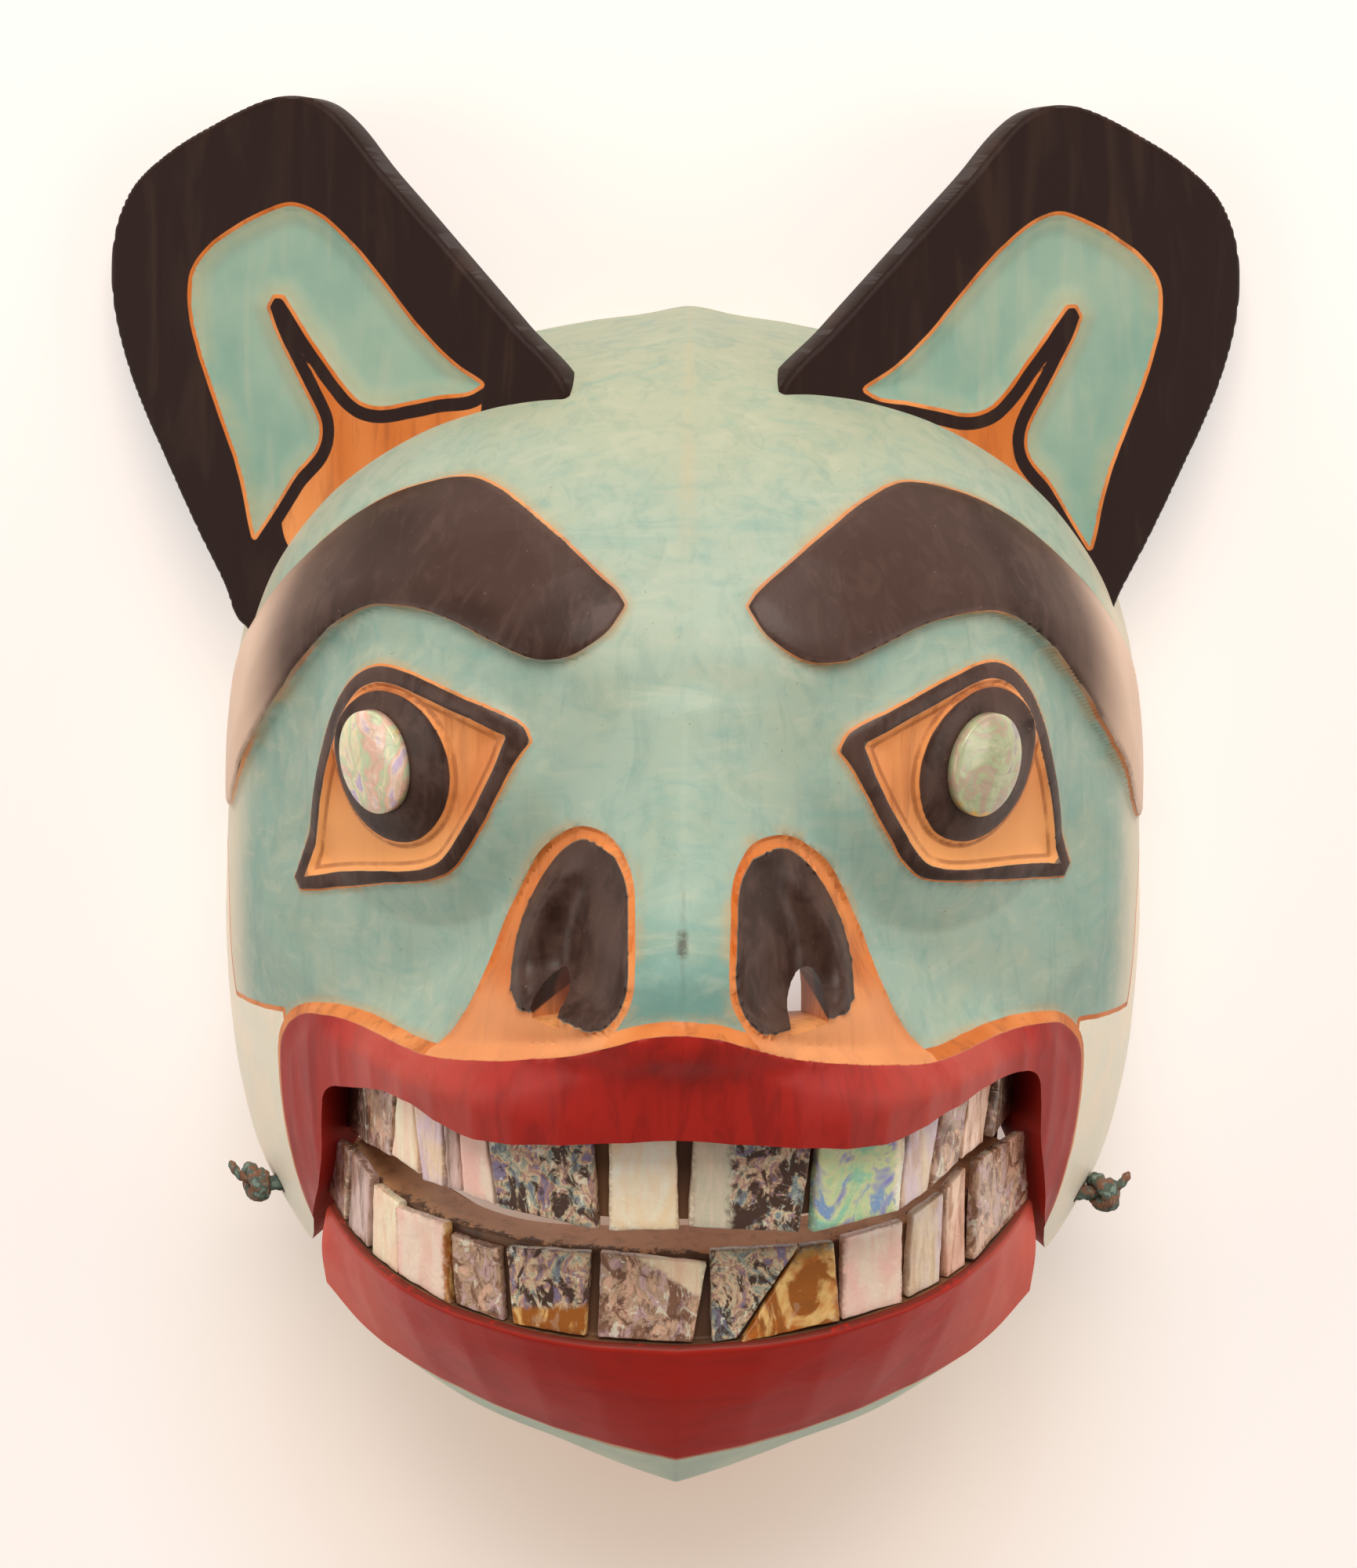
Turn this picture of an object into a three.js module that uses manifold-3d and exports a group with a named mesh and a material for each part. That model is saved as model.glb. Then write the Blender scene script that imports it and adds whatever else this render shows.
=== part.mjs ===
// Bear mask: a carved and painted wooden mask with shell inlay, lying face up on its back rim.
// Millimetres. X runs to the right of the face as it is looked at, Y toward the ears, Z out of the face.
import * as THREE from 'three';
import { mergeVertices } from 'three/addons/utils/BufferGeometryUtils.js';
import Module from 'manifold-3d';

const wasm = await Module();
wasm.setup();

// Driving sizes
const WRAP = 105; // outlines are drawn on a cylinder of this radius round the Y axis
const WALL = 10; // thickness of the carved shell
const GAP = 0.3; // between pieces that touch
const CROWN = 98.5; // top of the head
const CHEEK_END = -122; // lower end of the cheeks
const CENTRE = [3.5, 7.5, 0]; // moves the middle of the footprint to the origin
const HINGE = { y: -107, z: 40, cord: 4, hole: 4.8 };
const LIFT = { brow: 1.4, rim: 1.1, iris: 1.5, lip: 3.2 }; // how far each pad stands proud

// Paints and materials
const paint = (color, roughness) => new THREE.MeshStandardMaterial({ color, roughness, metalness: 0 });
const PAINTED_GREEN = () => paint(0x8fb3a0, 0.6);
const PAINTED_BLACK = () => paint(0x3f2d27, 0.55);
const PAINTED_RED = () => paint(0x8e2e26, 0.5);
const SHELL_INLAY = () => paint(0xb9b7b4, 0.25);
const CORD_GREEN = () => paint(0x6e7f6a, 0.8);

// Small helpers
const radians = THREE.MathUtils.degToRad;
const clamp = THREE.MathUtils.clamp;

// A smooth curve through [position, value] stations that never overshoots them
function along(stations) {
  const steps = stations.slice(1).map((s, i) => s[0] - stations[i][0]);
  const rises = stations.slice(1).map((s, i) => (s[1] - stations[i][1]) / steps[i]);
  const slopes = stations.map((s, i) => {
    if (i === 0) return rises[0];
    if (i === stations.length - 1) return rises[i - 1];
    if (rises[i - 1] * rises[i] <= 0) return 0;
    const before = 2 * steps[i] + steps[i - 1];
    const after = steps[i] + 2 * steps[i - 1];
    return (before + after) / (before / rises[i - 1] + after / rises[i]);
  });
  return (at) => {
    let i = 0;
    while (i < steps.length - 1 && at > stations[i + 1][0]) i += 1;
    const t = clamp((at - stations[i][0]) / steps[i], 0, 1);
    const keep = 2 * t ** 3 - 3 * t ** 2 + 1;
    const start = stations[i][1] * keep + slopes[i] * steps[i] * (t ** 3 - 2 * t ** 2 + t);
    return start + stations[i + 1][1] * (1 - keep) + slopes[i + 1] * steps[i] * (t ** 3 - t ** 2);
  };
}

// Radius of a superellipse of half width a and height h, at an angle from the Z axis
function oval(theta, a, h, power) {
  const across = (Math.abs(Math.sin(theta)) / a) ** power;
  const up = (Math.abs(Math.cos(theta)) / h) ** power;
  return (across + up) ** (-1 / power);
}

// The larger of two values, blended over a width
function blendMax(a, b, width) {
  const lead = (a - b) / width;
  return lead > 30 ? a : b + width * Math.log1p(Math.exp(lead));
}

// The skin of the face, as a radius at an angle from the Z axis and a height along Y
const domeWidth = along([[-135, 86], [-119, 99], [-97, 108.5], [-70, 112.5], [-50, 113.2], [-30, 112.3],
  [-10, 111], [18, 108.5], [40, 102], [60, 90], [75, 75], [85, 61], [92, 48], [96, 35], [98.5, 10]]);
const domeHeight = along([[-135, 90], [-118, 94], [-90, 97], [-60, 98], [-20, 109], [10, 113], [35, 112],
  [60, 98], [75, 82], [85, 67], [92, 53], [96, 42], [98.5, 16]]);
const muzzleWidth = along([[-135, 80], [-80, 89], [-56, 90], [-42, 76], [-24, 58], [-5, 50], [20, 40], [45, 30]]);
const muzzleHeight = along([[-135, 100], [-80, 133], [-56, 139], [-42, 142], [-30, 148], [-20, 146.5],
  [-5, 134], [15, 119], [35, 108], [45, 95]]);

// A shallow bowl or mound of elliptical plan, full in the middle and zero at its edge
function bowl(w, y, [atW, atY, halfW, halfY], sharpness) {
  const q = ((w - atW) / halfW) ** 2 + ((y - atY) / halfY) ** 2;
  return q < 1 ? (1 - q) ** sharpness : 0;
}

function skin(theta, y) {
  const dome = oval(theta, domeWidth(y), domeHeight(y), 2.15);
  const muzzle = oval(theta, muzzleWidth(y), muzzleHeight(y), 2) * clamp((45 - y) / 12, 0, 1);
  const w = Math.abs(theta) * WRAP;
  const socket = 7.5 * bowl(w, y, [76, -2, 47, 47], 1.3);
  const eyeball = 5 * bowl(w, y, [63, 7, 38, 32], 1);
  const ridge = 0.9 * Math.exp(-w / 5);
  return blendMax(dome, muzzle, 4) - socket + eyeball + ridge;
}

// Outlines, as [w, y] on the wrapping cylinder for the right half of the face
const BROW = [[13, 51], [16.5, 45.5], [24, 40.5], [31, 39.8], [39, 42.2], [52, 46], [64, 47], [75, 45.2], [85, 39],
  [97, 28.5], [108, 16.5], [119, 4], [131, -12], [137, -14], [139, 2], [132, 25], [119, 39], [108, 50], [97, 60],
  [86, 66.5], [72, 71], [60, 72.3], [46, 69.5], [31, 63.5], [21, 57.5], [15, 53.5]];
const EYE = [[31.2, 21.4], [38, 25.7], [52, 31], [59, 33], [65, 33.9], [70, 33.3], [75, 31], [79, 27.3], [82.5, 21.9],
  [87.2, 11.4], [93.3, -3.2], [99.2, -21.5], [88.5, -20.1], [69.5, -16.2], [54.4, -13.1], [48.5, -10], [41, 0.4],
  [32.8, 16.2]];
const EYE_WHITE = [[35.2, 20.8], [45.5, 25.2], [58.5, 29.5], [65, 30.6], [70.5, 29.6], [75, 26.5], [79, 20.5],
  [84, 10.2], [90.2, -4.5], [95.5, -18.3], [79.5, -14.8], [61.5, -12.1], [55.6, -10.6], [50.7, -7.8], [43.7, 2],
  [38, 13]];
const IRIS = { at: [63.3, 12.2], half: [15.2, 18.5], lean: 24 };
const DISC = { at: [66, 13.2], half: [10.2, 12], lean: 14, thick: 2.4 };
const LIP = [[-2, -28.5], [5, -30], [10, -33], [18, -38.3], [29, -43], [38.5, -46.1], [49, -48.7], [60, -49.6],
  [80, -50.3], [88, -51.5], [95, -53.5], [101, -57.5], [104.8, -62.5], [106.3, -70], [106.4, -80], [106, -88],
  [103.8, -104], [102.5, -110], [94, -110], [85, -88], [82, -71], [76, -68], [60, -66], [40, -69], [20, -66],
  [-2, -61]];
const lipLow = along([[0, -54.6], [10.5, -56.6], [22, -59.5], [31, -61.8], [38.5, -62.7], [45.5, -61.6], [54, -60.2],
  [62, -60.2], [74, -62.2], [80, -63.5], [84.5, -65.5], [87.3, -69.5], [88.2, -76], [89.2, -83], [91.5, -90],
  [95, -97.5], [99.5, -105.5], [102.5, -109.5], [108, -116], [116, -121], [124, -123]]);

// Gums: oval curves that the tooth plates are set against
const upperGum = (theta) => oval(theta, 79, 128, 2.4);
const lowerGum = (theta) => oval(theta, 87, 112.5, 2.4);

// Meshes and solids
function solidOf(geometry) {
  geometry.deleteAttribute('normal');
  geometry.deleteAttribute('uv');
  const joined = mergeVertices(geometry, 1e-4);
  const vertProperties = new Float32Array(joined.attributes.position.array);
  const triVerts = [];
  for (let i = 0; i < joined.index.count; i += 3) {
    const [a, b, c] = [0, 1, 2].map((k) => joined.index.getX(i + k));
    if (a !== b && b !== c && c !== a) triVerts.push(a, b, c);
  }
  const mesh = new wasm.Mesh({ numProp: 3, vertProperties, triVerts: new Uint32Array(triVerts) });
  return new wasm.Manifold(mesh);
}

function meshOf(solid, name, material) {
  const { vertProperties, triVerts } = solid.getMesh();
  const geometry = new THREE.BufferGeometry();
  geometry.setAttribute('position', new THREE.BufferAttribute(new Float32Array(vertProperties), 3));
  geometry.setIndex(new THREE.BufferAttribute(new Uint32Array(triVerts), 1));
  geometry.computeVertexNormals();
  const mesh = new THREE.Mesh(geometry, material);
  mesh.name = name;
  return mesh;
}

// Triangles across a closed ring, turning the way that the ring runs
function capOf(ring) {
  const normal = new THREE.Vector3();
  ring.forEach((p, i) => normal.add(p.clone().cross(ring[(i + 1) % ring.length])));
  const away = Math.abs(normal.x) > Math.abs(normal.z) ? new THREE.Vector3(0, 0, 1) : new THREE.Vector3(1, 0, 0);
  const right = away.projectOnPlane(normal.normalize()).normalize();
  const up = normal.clone().cross(right);
  const flat = ring.map((p) => new THREE.Vector2(p.dot(right), p.dot(up)));
  const faces = THREE.ShapeUtils.triangulateShape(flat, []);
  return faces.map((face) => [...face].sort((a, b) => a - b).map((k) => ring[k]));
}

// A solid swept through rings that all hold the same number of points
function sweep(rings) {
  const faces = [];
  const count = rings[0].length;
  for (let i = 0; i < rings.length - 1; i += 1) {
    for (let j = 0; j < count; j += 1) {
      const k = (j + 1) % count;
      faces.push([rings[i][j], rings[i][k], rings[i + 1][k]]);
      faces.push([rings[i][j], rings[i + 1][k], rings[i + 1][j]]);
    }
  }
  capOf(rings[0]).forEach((face) => faces.push(face.reverse()));
  capOf(rings[rings.length - 1]).forEach((face) => faces.push(face));
  const volume = faces.reduce((sum, [a, b, c]) => sum + a.dot(b.clone().cross(c)), 0);
  if (volume < 0) faces.forEach((face) => face.reverse());
  return solidOf(new THREE.BufferGeometry().setFromPoints(faces.flat()));
}

const polar = (radius, theta, y) => new THREE.Vector3(radius * Math.sin(theta), y, radius * Math.cos(theta));
const evenly = (from, to, count) => Array.from({ length: count + 1 }, (_, i) => from + ((to - from) * i) / count);

// The region between the Y axis and a radius, from the floor round the face to the floor again
function roundSolid(radiusAt, thetas, heights, axisZ) {
  return sweep(thetas.map((theta) => {
    const wall = heights.map((y) => polar(radiusAt(theta, y), theta, y));
    const top = new THREE.Vector3(0, heights[heights.length - 1], axisZ);
    return [...wall, top, new THREE.Vector3(0, heights[0], axisZ)];
  }));
}

// A wedge under an outline, running through the skin
function wedge(outline, from, to) {
  return sweep([from, to].map((radius) => outline.map(([w, y]) => polar(radius, w / WRAP, y))));
}

const mirrored = (outline) => outline.map(([w, y]) => [-w, y]);

// An oval outline on the wrapping cylinder
function ovalOutline({ at, half, lean }, count) {
  return evenly(0, 2 * Math.PI, count).slice(0, -1).map((turn) => {
    const across = half[0] * Math.cos(turn);
    const up = half[1] * Math.sin(turn);
    const c = Math.cos(radians(lean));
    const s = Math.sin(radians(lean));
    return [at[0] + across * c + up * s, at[1] - across * s + up * c];
  });
}

// Head: the outer form
const THETAS = evenly(-90, 90, 32).map(radians);
const HEIGHTS = [...evenly(CHEEK_END, -50, 6), ...evenly(-42, 48, 10), 58, 68, 78, 86, 92, 96, CROWN];

function headForm(lift) {
  return roundSolid((theta, y) => skin(theta, y) + lift, THETAS, HEIGHTS, 0);
}

function bothSides(outline) {
  return wedge(outline, 60, 230).add(wedge(mirrored(outline), 60, 230));
}

// Proud pads of the brows, eye rims, irises and upper lip
function browPads(gap) {
  return headForm(LIFT.brow + 1.2 + gap).intersect(bothSides(BROW));
}

function pads() {
  const brows = browPads(0);
  const rims = headForm(LIFT.rim).intersect(bothSides(EYE)).subtract(bothSides(EYE_WHITE));
  const irises = headForm(LIFT.iris).intersect(bothSides(ovalOutline(IRIS, 18)));
  const lip = headForm(LIFT.lip).intersect(bothSides(LIP));
  return brows.add(rims).add(irises).add(lip);
}

// The mouth opening, cut in from the lower edge of the lip
function mouth() {
  const edge = [0, 10.5, 22, 31, 38.5, 45.5, 54, 62, 74, 80, 84.5, 87.3, 88.2, 89.2, 91.5, 95, 99.5, 102.5, 108, 116, 124];
  const ws = [...edge.slice(1).reverse().map((w) => -w), ...edge];
  return sweep(ws.map((w) => {
    const theta = w / WRAP;
    const top = lipLow(Math.abs(w));
    const face = polar(skin(theta, top) + LIFT.lip, theta, top);
    const inward = new THREE.Vector3(Math.sin(0.3 * theta), 0, Math.cos(0.3 * theta));
    const near = face.clone().addScaledVector(inward, -70);
    const far = face.clone().addScaledVector(inward, 60);
    return [near, far, far.clone().setY(-220), near.clone().setY(-220)];
  }));
}

// The hollow behind the face: thicker wood behind the gum and at the crown
const behindGum = along([[-92, 0], [-82, 1], [-52, 1], [-34, 0]]);
const besideGum = along([[52, 1], [63, 0]]);
function hollowRadius(theta, y) {
  const up = clamp((y - 40) / 48, 0, 1);
  const plain = skin(theta, y + 9 * up) - WALL * (1 - 0.5 * up);
  const gum = upperGum(theta) - 11;
  return plain - behindGum(y) * besideGum(Math.abs(THREE.MathUtils.radToDeg(theta))) * Math.max(plain - gum, 0);
}

function hollow() {
  const thetas = evenly(-94, 94, 20).map(radians);
  const heights = [-140, -120, -109, -98, -92, -82, -68, -52, -43, -34, ...evenly(-20, 78, 7), 84, 89];
  return roundSolid(hollowRadius, thetas, heights, -4);
}

// The gum that the upper teeth are set on
const upperGumEnd = along([[0, -78.6], [45, -79.5], [62, -84]]);
function upperGumSolid() {
  return sweep(evenly(-62, 62, 20).map((degrees) => {
    const theta = radians(degrees);
    const low = upperGumEnd(Math.abs(degrees));
    const r = upperGum(theta);
    return [polar(r - 16, theta, -46), polar(r, theta, -46), polar(r, theta, low), polar(r - 16, theta, low)];
  }));
}

// A tilted frame on the skin: the point, the outward direction and two axes across it
function skinFrame(w, y, lift) {
  const at = (dw, dy) => polar(skin((w + dw) / WRAP, y + dy) + lift, (w + dw) / WRAP, y + dy);
  const right = at(4, 0).sub(at(-4, 0)).normalize();
  const up = at(0, 4).sub(at(0, -4));
  const out = right.clone().cross(up).normalize();
  return new THREE.Matrix4().makeBasis(right, out.clone().cross(right), out).setPosition(at(0, 0));
}

// An oval plug whose front lies a little proud of the iris
function discPlug(side, grow, thick) {
  const outline = new THREE.Shape();
  outline.absellipse(0, 0, DISC.half[0] + grow, DISC.half[1] + grow, 0, 2 * Math.PI, false, radians(side * -DISC.lean));
  const geometry = new THREE.ExtrudeGeometry(outline, { depth: thick, bevelEnabled: false, curveSegments: 10 });
  geometry.translate(0, 0, -DISC.thick - grow);
  return solidOf(geometry.applyMatrix4(skinFrame(side * DISC.at[0], DISC.at[1], LIFT.iris + 0.4)));
}

// A nostril: a scooped bowl with a hole through its lower end
function nostril(side) {
  const scoop = new THREE.SphereGeometry(1, 14, 8).scale(11.5, 16.5, 10);
  scoop.rotateZ(radians(side * 14)).translate(side * 25, -14, 129);
  const bore = new THREE.CylinderGeometry(5, 6, 60, 10).rotateX(Math.PI / 2).scale(1.1, 0.9, 1);
  bore.translate(side * 23, -26, 105);
  return solidOf(scoop).add(solidOf(bore));
}

function hingeBore() {
  const bore = new THREE.CylinderGeometry(HINGE.hole / 2, HINGE.hole / 2, 260, 12).rotateZ(Math.PI / 2);
  return solidOf(bore.translate(0, HINGE.y, HINGE.z));
}

function buildHead() {
  let head = headForm(0).add(pads()).subtract(mouth()).add(upperGumSolid()).subtract(hollow());
  for (const side of [-1, 1]) head = head.subtract(nostril(side)).subtract(discPlug(side, GAP, 8));
  head = head.subtract(hingeBore());
  return meshOf(head, 'head', PAINTED_GREEN());
}

// Ears: flat slabs whose faces turn outward, drawn on their own plane
const EAR = { at: [61, 72, 44], turn: 0.38, lean: 0.12, thick: 11, shift: -3.5, recess: 1.6 };
const EAR_EDGE = [[32, 80], [25, 78.6], [18.5, 74], [10, 65], [0, 55.5], [-12, 44], [-25, 31.5], [-39, 17.5],
  [-36, 2], [-12, -6], [14, -28], [30, -48], [42, -41], [46, -33], [54, -20], [63, -4], [71, 11], [76, 24],
  [78.3, 36], [77.5, 48], [73, 58], [64, 66], [52, 73], [40, 78.5]];
const EAR_RECESS = [[38, -21], [43, -3.5], [47, 5.5], [51, 14.5], [54.5, 23.5], [56.5, 32], [56, 39], [51.5, 45],
  [45, 49.5], [38, 53], [31, 55.2], [24, 53], [17, 48], [10, 41.5], [3, 34], [-4, 27], [-11, 21.5], [-18, 17.5],
  [-14.6, 15.6], [-7.4, 14.4], [0.8, 12.5], [6.9, 11.2], [12.1, 12.1], [16.5, 15.6], [21.9, 21.9], [26.4, 27.2],
  [29.8, 31.7], [32.5, 35], [35.2, 35], [36.9, 32.2], [34.9, 27.6], [31.4, 21.4], [26.9, 14.1], [23, 7.7],
  [22.2, 3.9], [23.3, 0.1], [28.4, -5.9], [33.4, -13.9]];

function earFrame(side) {
  const out = new THREE.Vector3(EAR.turn, EAR.lean, 1).normalize();
  const right = new THREE.Vector3(0, 1, 0).cross(out).normalize();
  const frame = new THREE.Matrix4().makeBasis(right, out.clone().cross(right), out);
  frame.setPosition(...EAR.at);
  if (side < 0) frame.premultiply(new THREE.Matrix4().makeScale(-1, 1, 1));
  return frame.premultiply(new THREE.Matrix4().makeTranslation(EAR.shift, 0, 0));
}

function earPlate(outline, front, back, side) {
  const frame = earFrame(side);
  return sweep([front, back].map((z) => outline.map(([u, v]) => new THREE.Vector3(u, v, z).applyMatrix4(frame))));
}

function buildEar(side) {
  const slab = earPlate(EAR_EDGE, 0, -EAR.thick, side);
  const recess = earPlate(EAR_RECESS, -EAR.recess, 6, side);
  const ear = slab.subtract(recess).subtract(headForm(GAP)).subtract(browPads(GAP));
  return meshOf(ear, side < 0 ? 'ear_left' : 'ear_right', PAINTED_BLACK());
}

// Jaw: sections round the Y axis, from the gum over the lip and chin to the back rim
const lipHeight = along([[0, -113.8], [12, -112.8], [22, -110.8], [30, -109.3], [38, -107.2], [47, -104.6],
  [55, -102.4], [60, -102.4]]);
const LIP_TILT = 0.022; // the lower lip runs higher on the right
const chin = {
  lipLowRadius: along([[0, 99.5], [18, 97.5], [31, 96.5], [41, 96.5], [52, 97.5], [58, 99]]),
  lipLowHeight: along([[0, -149.5], [18, -144.5], [31, -141], [41, -138], [52, -131.5], [58, -126]]),
  keelRadius: along([[0, 80], [17.5, 79], [34, 84], [45, 87], [58, 88], [75, 82], [90, 80]]),
  keelHeight: along([[0, -166.5], [17.5, -159], [34, -151.8], [45, -144.5], [58, -134], [75, -130], [90, -129]]),
  floorHeight: along([[0, -166], [17.5, -161.5], [34, -156], [58, -149], [90, -147]]),
};
const JAW_LIP_END = 54.6;
const JAW_GUM_END = 53.4;

function jawSection(degrees) {
  const theta = radians(degrees);
  const turn = Math.abs(degrees);
  const gum = lowerGum(theta);
  const lip = lipHeight(turn) + LIP_TILT * 105 * Math.sin(theta);
  const arm = turn > JAW_LIP_END;
  const besideGumEnd = 6 * clamp((68 - turn) / 10, 0, 1);
  const beside = (y) => skin(theta, y) - WALL - 1.5 - besideGumEnd;
  const gumTop = turn > JAW_GUM_END ? lip : -88 + (lip + 108) * 0.4;
  const outer = arm
    ? [[beside(-97.5), -97.5], [beside(-102), -102], [beside(-106), -106], [beside(-112), -112], [beside(-117), -117],
      [beside(-122), -122]]
    : [[gum, gumTop - 3], [gum, lip], [gum + 4.5, lip], [gum + 6, lip - 1.5],
      [(gum + 6 + chin.lipLowRadius(turn)) / 2 + 1.5, (lip + chin.lipLowHeight(turn)) / 2],
      [chin.lipLowRadius(turn), chin.lipLowHeight(turn)]];
  const inner = arm ? beside(-106) - 9 : gum - 12;
  const keel = [chin.keelRadius(turn), chin.keelHeight(turn)];
  const floor = [keel[0] * 0.5, chin.floorHeight(turn)];
  const path = [[inner, arm ? -97.5 : gumTop], ...outer, keel, floor, [0, -160], [0, -150.5],
    [floor[0] - 2, floor[1] + 9.5], [keel[0] - 12, keel[1] + 11], [inner - 1, -118]];
  return path.map(([radius, y]) => polar(radius, theta, y));
}

function buildJaw() {
  const half = [0, 5, 10, 15, 20, 25, 30, 35, 40, 45, 50, JAW_GUM_END, JAW_GUM_END + 0.3, JAW_LIP_END,
    JAW_LIP_END + 0.4, 63, 69, 76, 83, 90];
  const turns = [...half.slice(1).reverse().map((d) => -d), ...half];
  const jaw = sweep(turns.map(jawSection)).subtract(hingeBore());
  return meshOf(jaw, 'jaw', PAINTED_RED());
}

// Teeth: flat plates set on the gum curves, as [left, right, top, bottom]; no top means up to the lip
const PLATE = 2.5;
const UPPER_TEETH = [[-73.6, -69.4, -85], [-68.8, -61.9, -81.5], [-61.4, -56, -79.8], [-55.6, -50.2, -79.8],
  [-49.8, -46.6, -79.2], [-46.2, -39.8, -79.4], [-39.3, -16.8, -80], [-14.8, 0, -80], [2.2, 27.4, -80.4],
  [28, 47.3, -81], [47.9, 54.3, -80.8], [54.7, 61.6, -78.4], [62, 67.9, -77.5], [68.3, 74.5, -79]];
const LOWER_TEETH = [[-78.4, -74.3, -88], [-73.8, -68.4, -87], [-68, -62, -90], [-61.6, -50.4, -92],
  [-49.6, -38.2, -93.4], [-36.4, -19.2, -92.8], [-17.6, 4.6, -93], [6.6, 22, -91.4], [22.4, 34.1, -91.5],
  [34.8, 49.4, -90], [50, 57, -87.5], [58.4, 63, -86], [64.3, 76, -85]];

// The point of a gum curve at a given X
function onGum(gumAt, x) {
  let [low, high] = [0, radians(89)];
  for (let i = 0; i < 40; i += 1) {
    const middle = (low + high) / 2;
    if (gumAt(middle) * Math.sin(middle) < Math.abs(x)) low = middle;
    else high = middle;
  }
  return new THREE.Vector3(x, 0, gumAt(low) * Math.cos(low));
}

function toothPlate(gumAt, left, right, edges) {
  const [a, b] = [onGum(gumAt, left), onGum(gumAt, right)];
  const across = b.clone().sub(a).normalize();
  const out = new THREE.Vector3(-across.z, 0, across.x);
  const bulge = Math.max(...evenly(left, right, 8).map((x) => onGum(gumAt, x).sub(a).dot(out)));
  const ring = (depth) => edges.map(([end, y]) => (end ? b : a).clone().addScaledVector(out, depth).setY(y));
  return sweep([ring(bulge + GAP + PLATE), ring(bulge + GAP)]);
}

function buildTeeth() {
  const upper = UPPER_TEETH.map(([left, right, low], i) => {
    const tops = [left, right].map((x) => {
      const at = onGum(upperGum, x);
      const corner = Math.max(Math.abs(x) - 70, 0);
      return lipLow(Math.min(WRAP * Math.atan2(Math.abs(x), at.z), 84)) - 1 - 0.9 * corner;
    });
    const plate = toothPlate(upperGum, left, right, [[0, tops[0]], [0, low], [1, low], [1, tops[1]]]);
    return meshOf(plate, `upper_tooth_${String(i + 1).padStart(2, '0')}`, SHELL_INLAY());
  });
  const lower = LOWER_TEETH.map(([left, right, top], i) => {
    const lows = [left, right].map((x) => {
      const at = onGum(lowerGum, x);
      const turn = THREE.MathUtils.radToDeg(Math.atan2(Math.abs(x), at.z));
      return lipHeight(turn) + LIP_TILT * x + 0.6;
    });
    const plate = toothPlate(lowerGum, left, right, [[0, top], [0, lows[0]], [1, lows[1]], [1, top]]);
    return meshOf(plate, `lower_tooth_${String(i + 1).padStart(2, '0')}`, SHELL_INLAY());
  });
  return [...upper, ...lower];
}

function buildDisc(side) {
  return meshOf(discPlug(side, 0, DISC.thick), side < 0 ? 'eye_disc_left' : 'eye_disc_right', SHELL_INLAY());
}

// Hinge ties: a cord through the cheek and the jaw, knotted outside and inside
function buildTie(side) {
  const knot = (x, size) => {
    const lump = new THREE.IcosahedronGeometry(size, 1).scale(0.75, 1, 1);
    return solidOf(lump.translate(side * x, HINGE.y, HINGE.z));
  };
  const cord = new THREE.CylinderGeometry(HINGE.cord / 2, HINGE.cord / 2, 43, 10).rotateZ(Math.PI / 2);
  const tail = new THREE.CylinderGeometry(1.9, 1.5, 6, 8).rotateZ(radians(side * -70));
  tail.translate(side * 106, HINGE.y + 2.5, HINGE.z + 1);
  const outside = knot(102, 4.6).subtract(headForm(GAP));
  const tie = solidOf(cord.translate(side * 83, HINGE.y, HINGE.z)).add(outside).add(knot(62, 4));
  return meshOf(tie.add(solidOf(tail)), side < 0 ? 'hinge_tie_left' : 'hinge_tie_right', CORD_GREEN());
}

const mask = new THREE.Group();
mask.position.set(...CENTRE);
mask.add(buildHead(), buildJaw(), ...buildTeeth());
for (const side of [-1, 1]) mask.add(buildEar(side), buildDisc(side), buildTie(side));
export default mask;
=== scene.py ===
import math

import bmesh
import bpy
import numpy as np
from mathutils import Matrix, Vector, noise


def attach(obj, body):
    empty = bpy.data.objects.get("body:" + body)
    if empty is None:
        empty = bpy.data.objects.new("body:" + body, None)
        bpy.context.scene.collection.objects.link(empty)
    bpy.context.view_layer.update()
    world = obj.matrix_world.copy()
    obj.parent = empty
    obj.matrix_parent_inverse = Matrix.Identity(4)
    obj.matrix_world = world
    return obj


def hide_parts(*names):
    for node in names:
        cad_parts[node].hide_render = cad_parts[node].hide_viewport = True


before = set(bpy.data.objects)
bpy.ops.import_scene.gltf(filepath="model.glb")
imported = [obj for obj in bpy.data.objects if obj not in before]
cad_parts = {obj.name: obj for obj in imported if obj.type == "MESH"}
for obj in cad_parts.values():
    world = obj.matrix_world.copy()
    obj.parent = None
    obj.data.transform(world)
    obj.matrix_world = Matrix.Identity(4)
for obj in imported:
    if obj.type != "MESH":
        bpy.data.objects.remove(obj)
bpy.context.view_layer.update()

# Camera: a 75 mm lens three quarters of a metre above the face, leaning a little toward the ears
# and turned by less than a degree, as the photograph is framed.
MM = 0.001
FACE_AXIS = Vector((3.5, 7.5, 0.0))  # the face's own axis, in millimetres
CAMERA_LEAN, CAMERA_ROLL = math.radians(15.0), 0.0122
CAMERA_DISTANCE, CAMERA_AIM_HEIGHT = 750.0, 60.0
LENS_PIXELS, SHIFT_PIXELS, IMAGE_HEIGHT = 4179.0, -7.4, 2000.0
SENSOR = 36.0


def placed(name, data):
    """An object of the scene, at the origin."""
    thing = bpy.data.objects.new(name, data)
    bpy.context.scene.collection.objects.link(thing)
    return thing


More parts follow.
